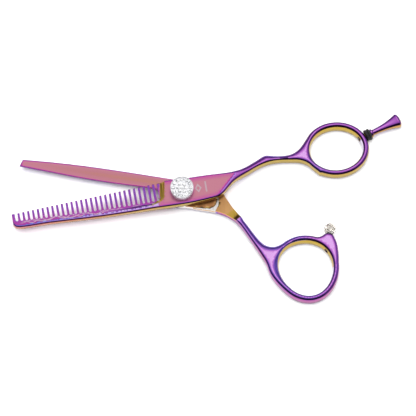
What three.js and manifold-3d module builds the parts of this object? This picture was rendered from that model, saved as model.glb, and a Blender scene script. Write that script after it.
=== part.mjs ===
// Thinning shears: a toothed half and a plain half on one pivot, with a stone-set tension dial,
// a screwed-in finger rest and a screwed-in crystal bumper.
// Millimetres, +Z up. The pivot axis is x = y = 0 and the shears rest on z = 0.
// Blades point to -X and finger rings to +X. Each half is drawn as it lies when the shears are
// shut, and is then turned about the pivot to the half-open position it is stored in.
import * as THREE from 'three';
import { mergeVertices } from 'three/addons/utils/BufferGeometryUtils.js';
import Module from 'manifold-3d';

const wasm = await Module();
wasm.setup();

// ---- Driving sizes -------------------------------------------------------------------------

const openAngle = 19.5; // between the stored position and blades exactly in line, degrees
const bladeLength = 72.4; // pivot to the tip of the toothed blade
const plainBladeLength = 69.8; // pivot to the tip of the plain blade
const bladeWidth = 11.6; // toothed blade at its heel
const shankWidth = 11.4; // either half at the pivot
const halfThickness = 3.2; // either half at the pivot
const bladeThickness = 2.5; // either blade at its spine

const toothCount = 30;
const toothedShare = 0.858; // of the blade's length, cut into teeth
const gapShare = 0.52; // of the tooth pitch
const endToothWidth = 1.35;

const ringHeight = 5.0; // both finger rings, along the pivot axis
const ringWall = 2.8;
const fingerRing = { x: 67.7, y: 8.6, long: 12.5, short: 10.8, tilt: -3.5 }; // middle of the wall
const thumbRing = { x: 57.0, y: -24.3, long: 13.5, short: 12.5, tilt: -56, lobe: 0.35 };

const headThickness = 0.6; // flat head of the pivot stud, under the plain half
const headRadius = 4.6;
const journalRadius = 2.3;
const threadShare = 0.78; // thread radius as a share of the journal's
const bushWall = 0.8;
const glideThickness = 0.2;
const glideRadius = 4.8;

const dialRadius = 4.9;
const dialHeight = 2.9;
const dialGap = 0.35; // dial skirt to the toothed half
const dialRim = 0.25;
const dialFlutes = 36;
const thrustThickness = 0.3;
const waveThickness = 0.15;
const waveLift = 0.22;
const clickThickness = 0.3;
const clickTeeth = 24;

const restAngle = 17.2; // finger rest, round the finger ring, degrees
const restLength = 14.4;
const restFlare = 6.0; // width of the finger rest at its end
const restNeck = 2.5;
const restWasherThickness = 2.2;
const restThreadRadius = 1.0;

const bumperX = 64.1;
const bumperSeatY = -7.55;
const bumperRadius = 2.65;
const bumperThreadRadius = 0.8;

const slideFit = 0.05; // radial gap of anything that turns, and of screwed-in threads
const detail = 0.01; // smallest overlap left between solids that are joined

// ---- Heights that follow -------------------------------------------------------------------

const plainOuterZ = headThickness;
const plainInnerZ = plainOuterZ + halfThickness;
const toothedInnerZ = plainInnerZ + glideThickness;
const toothedOuterZ = toothedInnerZ + halfThickness;
const toothPitch = (toothedShare * bladeLength) / toothCount;
const gapWidth = gapShare * toothPitch;
const squareNeck = 2 * journalRadius; // across the flats
const threadRadius = threadShare * journalRadius;
const ringMidZ = ringHeight / 2;
const restWasherRadius = ringHeight / 2;
const bumperMidZ = Math.max(ringMidZ, bumperRadius); // the ball may touch the floor, not pass it
const bumperSeat = { x: bumperX, y: bumperSeatY, z: bumperMidZ };
const bushRadius = journalRadius + slideFit + bushWall;
const radians = THREE.MathUtils.degToRad;

// ---- Solids --------------------------------------------------------------------------------

function signedVolume(position, index) {
  const a = new THREE.Vector3();
  const b = new THREE.Vector3();
  const c = new THREE.Vector3();
  let sum = 0;
  for (let i = 0; i < index.length; i += 3) {
    a.fromBufferAttribute(position, index[i]);
    b.fromBufferAttribute(position, index[i + 1]);
    c.fromBufferAttribute(position, index[i + 2]);
    sum += a.dot(b.cross(c)) / 6;
  }
  return sum;
}

// A closed three.js geometry as a solid that can be joined and cut.
function solid(geometry) {
  const bare = geometry.clone();
  bare.deleteAttribute('normal');
  bare.deleteAttribute('uv');
  const merged = mergeVertices(bare, 1e-4);
  const kept = [];
  for (let i = 0; i < merged.index.count; i += 3) {
    const [a, b, c] = [0, 1, 2].map((k) => merged.index.getX(i + k));
    if (a !== b && b !== c && a !== c) kept.push(a, b, c);
  }
  if (signedVolume(merged.attributes.position, kept) < 0) kept.reverse();
  return new wasm.Manifold(new wasm.Mesh({
    numProp: 3,
    vertProperties: new Float32Array(merged.attributes.position.array),
    triVerts: new Uint32Array(kept),
  }));
}

function geometryOf(body) {
  const mesh = body.getMesh();
  const geometry = new THREE.BufferGeometry();
  geometry.setAttribute('position', new THREE.BufferAttribute(mesh.vertProperties, 3));
  geometry.setIndex(new THREE.BufferAttribute(mesh.triVerts, 1));
  geometry.computeVertexNormals();
  return geometry;
}

// Skin over a row of equal-sized point rings, with flat ends unless it closes on itself.
function skin(rings, closed = false) {
  const size = rings[0].length;
  const points = rings.flat();
  const index = [];
  const spans = closed ? rings.length : rings.length - 1;
  for (let i = 0; i < spans; i++) {
    const here = i * size;
    const next = ((i + 1) % rings.length) * size;
    for (let k = 0; k < size; k++) {
      const n = (k + 1) % size;
      index.push(here + k, next + k, next + n, here + k, next + n, here + n);
    }
  }
  if (!closed) {
    const last = (rings.length - 1) * size;
    for (const [start, flip] of [[0, false], [last, true]]) {
      const middle = new THREE.Vector3();
      for (let k = 0; k < size; k++) middle.add(points[start + k]);
      const hub = points.push(middle.divideScalar(size)) - 1;
      for (let k = 0; k < size; k++) {
        const edge = [start + k, start + ((k + 1) % size)];
        index.push(hub, ...(flip ? edge.reverse() : edge));
      }
    }
  }
  const geometry = new THREE.BufferGeometry().setFromPoints(points);
  geometry.setIndex(index);
  return geometry;
}

// A plate with this outline between two heights.
function plate(shape, low, high, curveSegments = 8) {
  const options = { depth: high - low, bevelEnabled: false, curveSegments };
  return solid(new THREE.ExtrudeGeometry(shape, options).translate(0, 0, low));
}

function disc(radius, low, high, sides = 48) {
  const geometry = new THREE.CylinderGeometry(radius, radius, high - low, sides);
  return solid(geometry.rotateX(Math.PI / 2).translate(0, 0, (low + high) / 2));
}

function block(x0, x1, y0, y1, z0, z1) {
  const geometry = new THREE.BoxGeometry(x1 - x0, y1 - y0, z1 - z0);
  return solid(geometry.translate((x0 + x1) / 2, (y0 + y1) / 2, (z0 + z1) / 2));
}

// A turned piece about Z: its profile runs from the axis and back to it.
function turned(profile, sides = 48) {
  const points = profile.map(([r, z]) => new THREE.Vector2(r, z));
  return solid(new THREE.LatheGeometry(points, sides).rotateX(Math.PI / 2));
}

// ---- Lofted halves -------------------------------------------------------------------------

// How far the corners of a section are rounded, as shares of its width and height, in the
// order: inner face at edge A, inner at B, outer at B, outer at A.
const shankForm = [[0, 0], [0, 0], [0.06, 0.18], [0.05, 0.16]];
const toothedForm = [[0, 0], [0, 0], [0.14, 0.42], [0, 0]];
const convexForm = [[0, 0], [0, 0], [0.72, 0.93], [0.14, 0.42]];
const toothedArmForm = [[0.3, 0.22], [0.28, 0.2], [0.3, 0.24], [0.48, 0.36]];
const plainArmForm = [[0.48, 0.34], [0.34, 0.26], [0.28, 0.2], [0.3, 0.22]];
const ringForm = [[0.38, 0.2], [0.38, 0.2], [0.46, 0.26], [0.46, 0.26]];

function mixForms(one, two, t) {
  return one.map((pair, i) => pair.map((value, k) => value + (two[i][k] - value) * t));
}

// Points round one section. Edge A and edge B are its two sides in plan.
function section(a, b, inner, outer, form) {
  const steps = 3;
  const points = [];
  const add = (u, v) => {
    const x = a.x + (b.x - a.x) * u;
    const y = a.y + (b.y - a.y) * u;
    points.push(new THREE.Vector3(x, y, inner + (outer - inner) * v));
  };
  for (let corner = 0; corner < 4; corner++) {
    const [u, v] = form[corner];
    for (let k = 0; k <= steps; k++) {
      const turn = (k / steps) * (Math.PI / 2);
      const near = 1 - Math.cos(turn);
      const far = 1 - Math.sin(turn);
      if (corner === 0) add(u * near, v * far);
      if (corner === 1) add(1 - u * far, v * near);
      if (corner === 2) add(1 - u * near, 1 - v * far);
      if (corner === 3) add(u * far, 1 - v * near);
    }
  }
  return points;
}

// A station: edge A, edge B, height of the inner and outer face, section form.
function station(ax, ay, bx, by, inner, outer, form) {
  return { a: new THREE.Vector3(ax, ay, inner), b: new THREE.Vector3(bx, by, outer), form };
}

// Smooth body through the stations: curved in plan, with heights that run straight between
// stations so that a flat face stays flat.
function loft(stations, steps = 3) {
  const planCurve = (side) => new THREE.CatmullRomCurve3(
    stations.map((s) => new THREE.Vector3(s[side].x, s[side].y, 0)), false, 'centripetal');
  const curveA = planCurve('a');
  const curveB = planCurve('b');
  const spans = stations.length - 1;
  const rings = [];
  for (let i = 0; i <= spans * steps; i++) {
    const t = i / steps;
    const k = Math.min(Math.floor(t), spans - 1);
    const [from, to] = [stations[k], stations[k + 1]];
    const inner = THREE.MathUtils.lerp(from.a.z, to.a.z, t - k);
    const outer = THREE.MathUtils.lerp(from.b.z, to.b.z, t - k);
    const form = mixForms(from.form, to.form, t - k);
    rings.push(section(curveA.getPoint(t / spans), curveB.getPoint(t / spans), inner, outer, form));
  }
  return solid(skin(rings));
}

// ---- Finger rings --------------------------------------------------------------------------

// Point of the ring's middle line at a turn round its centre, moved outwards by `out`. A ring
// with a lobe is slightly three-cornered, as a thumb ring is.
function ringPoint(ring, turn, out = 0) {
  const tilt = radians(ring.tilt);
  out += (ring.lobe ?? 0) * Math.cos(3 * (turn + tilt - radians(50)));
  const x = ring.long * Math.cos(turn);
  const y = ring.short * Math.sin(turn);
  const normal = new THREE.Vector2(x / ring.long ** 2, y / ring.short ** 2).normalize();
  const point = new THREE.Vector2(x, y).addScaledVector(normal, out);
  return point.rotateAround(new THREE.Vector2(), tilt).add(new THREE.Vector2(ring.x, ring.y));
}

// Distance from the ring's centre to its middle line in a direction given in degrees.
function ringReach(ring, degrees) {
  const turn = radians(degrees - ring.tilt);
  const across = Math.hypot(ring.short * Math.cos(turn), ring.long * Math.sin(turn));
  return (ring.long * ring.short) / across;
}

function ringBody(ring) {
  const around = 60;
  const rings = [];
  for (let i = 0; i < around; i++) {
    const turn = (i / around) * Math.PI * 2;
    const inside = ringPoint(ring, turn, -ringWall / 2);
    const outside = ringPoint(ring, turn, ringWall / 2);
    rings.push(section(inside, outside, 0, ringHeight, ringForm));
  }
  return solid(skin(rings, true));
}

// Everything inside the ring's middle line, used to trim the arm that runs into the ring.
function ringCore(ring) {
  const around = 60;
  const spots = Array.from({ length: around }, (_, i) => ringPoint(ring, (i / around) * Math.PI * 2));
  return plate(new THREE.Shape(spots), -1, ringHeight + 1);
}

// Turns something drawn along +Z so that it points outwards in plan from a spot.
function pointed(geometry, spot, degrees) {
  geometry.rotateY(Math.PI / 2).rotateZ(radians(degrees));
  return solid(geometry.translate(spot.x, spot.y, spot.z ?? ringMidZ));
}

function rod(radius, from, to, spot, degrees, sides = 24) {
  const geometry = new THREE.CylinderGeometry(radius, radius, to - from, sides);
  geometry.rotateX(Math.PI / 2).translate(0, 0, (from + to) / 2);
  return pointed(geometry, spot, degrees);
}

// Where the ring's inner wall crosses a line x = constant, on the +Y side.
function innerWallAt(ring, x) {
  const spots = Array.from({ length: 360 }, (_, i) => ringPoint(ring, radians(i), -ringWall / 2));
  const upper = spots.filter((spot) => spot.y > ring.y);
  return upper.sort((one, two) => Math.abs(one.x - x) - Math.abs(two.x - x))[0].y;
}

// ---- Toothed half --------------------------------------------------------------------------

function toothedStations() {
  const inner = toothedInnerZ;
  const spine = inner + bladeThickness;
  const top = toothedOuterZ;
  const w = bladeWidth;
  const h = shankWidth;
  const ring = fingerRing;
  const ringUpper = [2.52, 2.22].map((turn) => ringPoint(ring, turn, ringWall / 2 - 0.25));
  const share = (ring.x - 20) / 47.7; // how the arm stretches with the ring's place
  const along = (x) => 20 + (x - 20) * share;
  const low = 0.35;
  const crest = ringHeight - 0.25;
  return [
    station(-bladeLength, 0.155 * w, -bladeLength, -0.27 * w, inner, spine, toothedForm),
    station(1.2 - bladeLength, 0.16 * w, 1.2 - bladeLength, -0.38 * w, inner, spine, toothedForm),
    station(-0.79 * bladeLength, 0.235 * w, -0.79 * bladeLength, -0.425 * w, inner, spine, toothedForm),
    station(-0.5 * bladeLength, 0.34 * w, -0.5 * bladeLength, -0.5 * w, inner, spine, toothedForm),
    station(-0.3 * bladeLength, 0.41 * w, -0.3 * bladeLength, -0.52 * w, inner, spine + 0.2, toothedForm),
    station(-0.16 * bladeLength, 0.46 * w, -0.16 * bladeLength, -0.53 * w, inner, top, shankForm),
    station(-6.5, 0.47 * h, -6.5, -0.55 * h, inner, top, shankForm),
    station(3, 0.445 * h, 3, -0.555 * h, inner, top, shankForm),
    station(11, 0.435 * h, 11, -0.51 * h, inner, top, shankForm),
    station(14.6, 0.425 * h, 14.4, -0.47 * h, inner, top, shankForm),
    station(18.2, 0.42 * h, 17.1, -0.36 * h, inner, top, shankForm),
    station(21.6, 0.43 * h, 19.8, -0.15 * h, inner, top - 0.1, shankForm),
    station(along(24), 5.3, along(22.1), 0.3, inner - 0.5, top - 0.4, shankForm),
    station(along(26.4), 5.9, along(24.7), 1.8, inner - 2.2, top - 0.9, toothedArmForm),
    station(along(29.6), 7.2, along(28.6), 3.6, 1.0, top - 1.4, toothedArmForm),
    station(along(33.9), 9.3, along(34.2), 6.1, 0.6, top - 1.8, toothedArmForm),
    station(along(37.4), 10.9, along(38.8), 7.25, low, crest + 0.35, toothedArmForm),
    station(along(40.9), 10.1, along(42.2), 7.35, low, crest + 0.1, toothedArmForm),
    station(along(44.9), 9.4, along(45.3), 7.0, low, crest, toothedArmForm),
    station(along(48.8), 9.6, along(48.7), 6.5, low, crest, toothedArmForm),
    station(along(52.2), 11.3, along(51.6), 5.9, low, crest, toothedArmForm),
    station(along(54.6), 13.8, along(54.3), 4.3, low, crest, toothedArmForm),
    station(ringUpper[0].x, ringUpper[0].y, ring.x - 11.0, ring.y - 6.9, low, crest, toothedArmForm),
    station(ringUpper[1].x, ringUpper[1].y, ring.x - 8.6, ring.y - 10.3, low, crest, toothedArmForm),
  ];
}

// Cuts the outer face of the toothed blade down to its thin, sloping shape and leaves the
// hollow round step where the blade meets the thick block at the pivot.
function bladeFaceCutter() {
  const heelX = -7.7;
  const step = 2.2;
  const floor = toothedInnerZ + bladeThickness - 0.35;
  const tip = floor - 0.25;
  const profile = new THREE.Shape();
  profile.moveTo(-bladeLength - 5, tip);
  profile.lineTo(heelX - step, floor);
  profile.absarc(heelX - step, floor + step, step, -Math.PI / 2, 0, false);
  profile.lineTo(heelX, toothedOuterZ + 3);
  profile.lineTo(-bladeLength - 5, toothedOuterZ + 3);
  profile.closePath();
  const options = { depth: 24, bevelEnabled: false, curveSegments: 6 };
  const geometry = new THREE.ExtrudeGeometry(profile, options).translate(0, 0, -12);
  geometry.rotateX(Math.PI / 2);
  const lean = 0.2; // step leans over the width of the blade
  const fall = 0.11; // face falls towards the tooth tips
  geometry.applyMatrix4(new THREE.Matrix4().set(1, lean, 0, 0, 0, 1, 0, 0, 0, -fall, 1, 0, 0, 0, 0, 1));
  return solid(geometry);
}

// One slot between two teeth: straight sides and a round root.
function slot(x, root, top, width) {
  const shape = new THREE.Shape();
  shape.moveTo(x - width / 2, top);
  shape.lineTo(x - width / 2, root + width / 2);
  shape.absarc(x, root + width / 2, width / 2, Math.PI, Math.PI * 2, false);
  shape.lineTo(x + width / 2, top);
  shape.closePath();
  return plate(shape, toothedInnerZ - 1, toothedOuterZ + 2, 4);
}

function toothRootCurve() {
  return new THREE.QuadraticBezierCurve(
    new THREE.Vector2(-bladeLength, -0.13 * bladeWidth),
    new THREE.Vector2(-0.62 * bladeLength, -0.28 * bladeWidth),
    new THREE.Vector2(-0.1 * bladeLength, -0.225 * bladeWidth),
  );
}

function cutTeeth(half) {
  const roots = toothRootCurve();
  const firstX = -bladeLength + endToothWidth + gapWidth / 2;
  let cut = half;
  for (let i = 0; i < toothCount; i++) {
    const x = firstX + i * toothPitch;
    const t = (x - roots.v0.x) / (roots.v2.x - roots.v0.x);
    cut = cut.subtract(slot(x, roots.getPoint(t).y - gapWidth / 4, bladeWidth, gapWidth));
  }
  return cut;
}

// Small slope on the outer edge of the tooth tips.
function toothTipCutter() {
  const top = toothedInnerZ + 1.1;
  const slope = new THREE.Shape();
  slope.moveTo(-0.45, 1.2);
  slope.lineTo(0.4, -0.1);
  slope.lineTo(0.4, 1.2);
  slope.closePath();
  const start = new THREE.Vector2(-bladeLength, 0.155 * bladeWidth);
  const end = new THREE.Vector2(-0.16 * bladeLength, 0.46 * bladeWidth);
  const length = start.distanceTo(end);
  const geometry = new THREE.ExtrudeGeometry(slope, { depth: length, bevelEnabled: false });
  geometry.rotateX(Math.PI / 2).rotateZ(Math.PI / 2);
  geometry.rotateZ(Math.atan2(end.y - start.y, end.x - start.x));
  return solid(geometry.translate(start.x, start.y, top));
}

// The half-moon the halves ride on stays level; a shallow step surrounds it.
function rideRecess(face, side) {
  const depth = 0.5;
  const half = 0.6 * shankWidth;
  const end = 1.32 * shankWidth; // from the pivot to the round end of the half-moon
  const moon = new THREE.Shape();
  moon.moveTo(-9, half);
  moon.lineTo(0.45 * end, half);
  moon.bezierCurveTo(0.85 * end, half, end, 0.35 * half, end, -0.1 * half);
  moon.bezierCurveTo(end, -0.65 * half, 0.9 * end, -0.84 * half, 0.68 * end, -half);
  moon.lineTo(-9, -half);
  moon.closePath();
  const low = Math.min(face, face + side * depth) - (side > 0 ? 1 : 0);
  const high = Math.max(face, face + side * depth) + (side < 0 ? 1 : 0);
  const around = block(2.5, end + 0.95, -9, 9, low, high);
  return around.subtract(plate(moon, low - 1, high + 1, 10));
}

// Round pad on a finger ring, drilled for a screwed-in piece.
function restBoss() {
  const reach = ringReach(fingerRing, restAngle);
  const radius = 0.43 * ringHeight;
  return rod(radius, reach - 0.5, reach + ringWall / 2 + 0.35, fingerRing, restAngle);
}

function restHole() {
  const reach = ringReach(fingerRing, restAngle);
  const radius = restThreadRadius + slideFit;
  return rod(radius, reach - 3, reach + 5, fingerRing, restAngle);
}

function toothedHalf() {
  const arm = loft(toothedStations()).subtract(ringCore(fingerRing));
  let half = arm.add(ringBody(fingerRing)).add(restBoss());
  half = half.subtract(bladeFaceCutter());
  half = cutTeeth(half).subtract(toothTipCutter());
  half = half.subtract(disc(bushRadius + slideFit, toothedInnerZ - 1, toothedOuterZ + 1));
  half = half.subtract(rideRecess(toothedInnerZ, 1));
  return half.subtract(restHole());
}

// ---- Plain half ----------------------------------------------------------------------------

function plainStations() {
  const inner = plainInnerZ;
  const spine = inner - bladeThickness;
  const bottom = plainOuterZ;
  const l = plainBladeLength;
  const h = shankWidth;
  const ring = thumbRing;
  const upper = [3.42, 3.2, 3.05].map((turn) => ringPoint(ring, turn, ringWall / 2 - 0.25));
  const lower = [[4.45, 1.5], [4.74, 0.6], [5.05, 0.05]].map(
    ([turn, out]) => ringPoint(ring, turn, ringWall / 2 + out));
  const share = (ring.x - 17) / 40;
  const along = (x) => 17 + (x - 17) * share;
  const top = ringHeight - 0.2;
  const foot = 0.3;
  return [
    station(0.9 - l, 3.45, -l, 0.2, inner, spine + 0.5, convexForm),
    station(-0.82 * l, 4.35, -0.82 * l, -0.25, inner, spine + 0.2, convexForm),
    station(-0.62 * l, 5.05, -0.62 * l, -0.7, inner, spine, convexForm),
    station(-0.4 * l, 5.35, -0.4 * l, -0.65, inner, spine - 0.1, convexForm),
    station(-0.2 * l, 5.4, -0.2 * l, -0.15, inner, spine - 0.3, convexForm),
    station(-9.5, 0.475 * h, -10.5, -0.3, inner, bottom + 0.1, shankForm),
    station(-6.0, 0.475 * h, -6.6, -0.44 * h, inner, bottom, shankForm),
    station(-1.5, 0.47 * h, -2.0, -0.54 * h, inner, bottom, shankForm),
    station(4.4, 0.465 * h, 4.4, -0.495 * h, inner, bottom, shankForm),
    station(9.5, 0.46 * h, 9, -0.505 * h, inner, bottom, shankForm),
    station(13.6, 0.42 * h, 13.4, -0.495 * h, inner, bottom, shankForm),
    station(16.6, 0.29 * h, 17.2, -0.515 * h, inner, bottom, shankForm),
    station(along(18.9), 0.6, along(20.4), -6.6, inner, bottom, shankForm),
    station(along(21.9), -2.6, along(22.5), -7.5, inner, bottom - 0.05, shankForm),
    station(along(24.7), -5.1, along(23.6), -8.0, inner, bottom - 0.1, shankForm),
    station(along(26.2), -6.5, along(25.0), -8.95, inner + 0.3, bottom - 0.2, plainArmForm),
    station(along(27.3), -7.5, along(26.1), -9.85, top, bottom - 0.25, plainArmForm),
    station(along(29.4), -9.4, along(27.9), -11.6, top, foot, plainArmForm),
    station(along(33.2), -13.1, along(31.0), -14.9, top, foot, plainArmForm),
    station(along(36.5), -15.9, along(34.0), -18.1, top, foot, plainArmForm),
    station(along(39.4), -17.2, along(36.8), -21.2, top, foot, plainArmForm),
    station(along(42.3), -17.1, along(39.6), -24.4, top, foot, plainArmForm),
    station(along(44.9), -15.6, along(40.9), -26.4, top, foot, plainArmForm),
    station(upper[0].x, upper[0].y, lower[0].x, lower[0].y, top, foot, plainArmForm),
    station(upper[1].x, upper[1].y, lower[1].x, lower[1].y, top, foot, plainArmForm),
    station(upper[2].x, upper[2].y, lower[2].x, lower[2].y, top, foot, plainArmForm),
  ];
}

// Horn on the thumb ring that carries the bumper.
function bumperHorn() {
  const seat = bumperSeatY;
  const x = bumperX;
  const low = 0.3;
  const high = ringHeight - 0.3;
  const stations = [
    station(x + 6.1, seat - 11.6, x - 8.6, seat - 4.9, low, high, ringForm),
    station(x + 5.1, seat - 7.2, x - 5.4, seat - 3.2, low, high, ringForm),
    station(x + 3.9, seat - 3.6, x - 3.2, seat - 1.9, low + 0.1, high - 0.1, ringForm),
    station(x + 2.4, seat - 1.2, x - 1.9, seat - 0.8, low + 0.5, high - 0.5, ringForm),
    station(x + 1.7, seat, x - 1.7, seat, low + 0.8, high - 0.8, ringForm),
  ];
  return loft(stations, 2).subtract(ringCore(thumbRing));
}

function bumperHole() {
  return rod(bumperThreadRadius + slideFit, -14, 4, bumperSeat, 90, 20);
}

function squareHole() {
  const side = squareNeck / 2 + slideFit;
  return block(-side, side, -side, side, plainOuterZ - 1, plainInnerZ + 1);
}

function plainHalf() {
  const arm = loft(plainStations()).subtract(ringCore(thumbRing));
  let half = arm.add(ringBody(thumbRing)).add(bumperHorn());
  half = half.subtract(squareHole());
  half = half.subtract(rideRecess(plainInnerZ, -1));
  return half.subtract(bumperHole());
}

// ---- Pivot ---------------------------------------------------------------------------------

const stackBase = toothedOuterZ;
const thrustTop = stackBase + thrustThickness;
const waveTop = thrustTop + waveLift + waveThickness;
const clickTop = waveTop + clickThickness;
const dialBase = stackBase + dialGap;
const dialTop = stackBase + dialGap + dialHeight;
const cupFloor = dialTop - 0.5;
const cupRadius = dialRadius - dialRim;
const pocketTop = clickTop + 0.25;
const threadTop = cupFloor - 0.35;

function pivotStud() {
  const side = squareNeck / 2;
  const neckTop = plainInnerZ - 0.15;
  const edge = 0.15;
  const head = turned([
    [0, 0], [headRadius - edge, 0], [headRadius, edge], [headRadius, headThickness], [0, headThickness],
  ]);
  const neck = block(-side, side, -side, side, headThickness - detail, neckTop);
  const journal = disc(journalRadius, neckTop - 0.5, thrustTop, 40);
  const thread = disc(threadRadius, thrustTop - 0.5, threadTop, 40);
  return head.add(neck).add(journal).add(thread);
}

function sleeve(outer, inner, low, high, sides = 40) {
  return disc(outer, low, high, sides).subtract(disc(inner, low - 1, high + 1, sides));
}

function pivotBush() {
  return sleeve(bushRadius, journalRadius + slideFit, toothedInnerZ, toothedOuterZ);
}

function glideWasher() {
  return sleeve(glideRadius, journalRadius + slideFit, plainInnerZ, toothedInnerZ);
}

function thrustWasher() {
  return sleeve(dialRadius - 0.9, journalRadius + slideFit, stackBase, thrustTop);
}

// Wave washer: three crests and three troughs between its neighbours.
function waveWasher() {
  const inside = threadRadius + 0.2;
  const outside = dialRadius - 1.1;
  const around = 48;
  const rings = [];
  for (let i = 0; i < around; i++) {
    const turn = (i / around) * Math.PI * 2;
    const lift = (waveLift / 2) * (1 + Math.cos(turn * 3));
    const low = thrustTop + lift;
    const ring = [];
    for (const [r, z] of [[inside, 0], [outside, 0], [outside, 1], [inside, 1]]) {
      ring.push(new THREE.Vector3(r * Math.cos(turn), r * Math.sin(turn), low + z * waveThickness));
    }
    rings.push(ring);
  }
  return solid(skin(rings, true));
}

// Click plate: its edge is notched, and each notch is one click of the dial.
function clickPlate() {
  const outer = dialRadius - 1.0;
  const depth = 0.3;
  const shape = new THREE.Shape();
  for (let i = 0; i < clickTeeth; i++) {
    for (const [part, r] of [[0, outer - depth], [0.35, outer], [0.65, outer]]) {
      const turn = ((i + part) / clickTeeth) * Math.PI * 2;
      const spot = [r * Math.cos(turn), r * Math.sin(turn)];
      if (i === 0 && part === 0) shape.moveTo(...spot);
      else shape.lineTo(...spot);
    }
  }
  shape.closePath();
  const body = plate(shape, waveTop, clickTop);
  return body.subtract(disc(threadRadius + slideFit, waveTop - 1, clickTop + 1, 40));
}

// ---- Tension dial and its stones -----------------------------------------------------------

function tensionDial() {
  const edge = 0.2;
  const body = turned([
    [0, dialBase], [dialRadius - edge, dialBase], [dialRadius, dialBase + edge],
    [dialRadius, dialTop - edge], [dialRadius - edge / 2, dialTop], [cupRadius, dialTop],
    [cupRadius, cupFloor], [0, cupFloor],
  ], 72);
  let dial = body.subtract(disc(dialRadius - 0.7, dialBase - 1, pocketTop, 48));
  dial = dial.subtract(disc(threadRadius + slideFit, dialBase - 1, threadTop + 0.1, 40));
  for (let i = 0; i < dialFlutes; i++) {
    const turn = (i / dialFlutes) * Math.PI * 2;
    const flute = new THREE.CylinderGeometry(0.16, 0.16, dialHeight, 6);
    flute.rotateX(Math.PI / 2);
    const r = dialRadius + 0.04;
    flute.translate(r * Math.cos(turn), r * Math.sin(turn), dialBase + dialHeight / 2 - 0.55);
    dial = dial.subtract(solid(flute));
  }
  return dial;
}

// Flat-backed round stones: one, six and twelve.
const stoneGap = 0.04;
const stoneRadius = cupRadius / 5 - stoneGap;

function stone(x, y) {
  const r = stoneRadius;
  const sides = 8;
  const profile = [[0, 0], [r * 0.96, 0], [r, 0.1], [r * 0.62, 0.42], [0, 0.42]];
  const points = profile.map(([a, b]) => new THREE.Vector2(a, b));
  const geometry = new THREE.LatheGeometry(points, sides).rotateX(Math.PI / 2);
  geometry.rotateZ(Math.atan2(y, x));
  return solid(geometry.translate(x, y, cupFloor));
}

function stones() {
  const list = [{ name: 'stone_centre', body: stone(0, 0) }];
  const circles = [
    { name: 'stone_inner', count: 6, r: stoneRadius * 2 + stoneGap, turn: 0 },
    { name: 'stone_outer', count: 12, r: cupRadius - stoneRadius - stoneGap, turn: Math.PI / 12 },
  ];
  for (const circle of circles) {
    for (let i = 0; i < circle.count; i++) {
      const turn = circle.turn + (i / circle.count) * Math.PI * 2;
      const body = stone(circle.r * Math.cos(turn), circle.r * Math.sin(turn));
      list.push({ name: `${circle.name}_${i + 1}`, body });
    }
  }
  return list;
}

// ---- Finger rest ---------------------------------------------------------------------------

const restSeat = ringReach(fingerRing, restAngle) + ringWall / 2 + 0.35;

// Rubber washer with a groove round its edge.
function restWasher() {
  const far = restSeat + restWasherThickness;
  const middle = restSeat + restWasherThickness / 2;
  const edge = 0.3;
  const groove = 0.25;
  const hole = restThreadRadius + slideFit;
  const r = restWasherRadius;
  const points = [
    [hole, restSeat], [r - edge, restSeat], [r, restSeat + edge], [r, middle - groove], [r - groove, middle],
    [r, middle + groove], [r, far - edge], [r - edge, far], [hole, far], [hole, restSeat],
  ].map(([a, b]) => new THREE.Vector2(a, b));
  const geometry = new THREE.LatheGeometry(points, 32).rotateX(Math.PI / 2);
  return pointed(geometry, fingerRing, restAngle);
}

// Section of the finger rest: from round to a softly squared oval.
function ovalSection(x, wide, high, square, sides) {
  const ring = [];
  for (let k = 0; k < sides; k++) {
    const turn = (k / sides) * Math.PI * 2;
    const [c, s] = [Math.cos(turn), Math.sin(turn)];
    const out = (Math.abs(c) ** square + Math.abs(s) ** square) ** (-1 / square);
    ring.push(new THREE.Vector3(-high * c * out, wide * s * out, x));
  }
  return ring;
}

// Collar, slim neck and flared end with a domed face, drawn along the stud axis.
function fingerRest() {
  const start = restSeat + restWasherThickness;
  const end = start + restLength;
  const sides = 24;
  const neck = restNeck / 2;
  const flare = restFlare / 2;
  const high = ringMidZ - 0.15;
  const rings = [
    ovalSection(start, 1.6, 1.6, 2, sides),
    ovalSection(start + 0.2, 1.8, 1.8, 2, sides),
    ovalSection(start + 0.8, 1.7, 1.7, 2, sides),
  ];
  const steps = 14;
  for (let i = 0; i <= steps; i++) {
    const t = i / steps;
    const grow = t ** 2.2;
    const x = start + 1.3 + t * (restLength - 2.7);
    rings.push(ovalSection(x, neck + (flare - neck) * grow, neck + (high - neck) * grow, 2 + grow, sides));
  }
  for (const [back, share] of [[1.05, 0.97], [0.6, 0.8], [0.25, 0.55], [0, 0.2]]) {
    rings.push(ovalSection(end - back, flare * share, high * share, 3 - (1 - share), sides));
  }
  const body = pointed(skin(rings), fingerRing, restAngle);
  const inside = ringReach(fingerRing, restAngle) - ringWall / 2 + 0.25;
  const shank = rod(restThreadRadius, inside, start + 0.3, fingerRing, restAngle);
  return body.add(shank);
}

// ---- Bumper --------------------------------------------------------------------------------

const bumperFlange = 0.35;

function bumperStud() {
  const inside = bumperSeatY - innerWallAt(thumbRing, bumperX) - 0.3;
  const shank = rod(bumperThreadRadius, -inside, bumperFlange + 0.6, bumperSeat, 90, 20);
  return shank.add(rod(1.35, 0, bumperFlange, bumperSeat, 90, 24));
}

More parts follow.
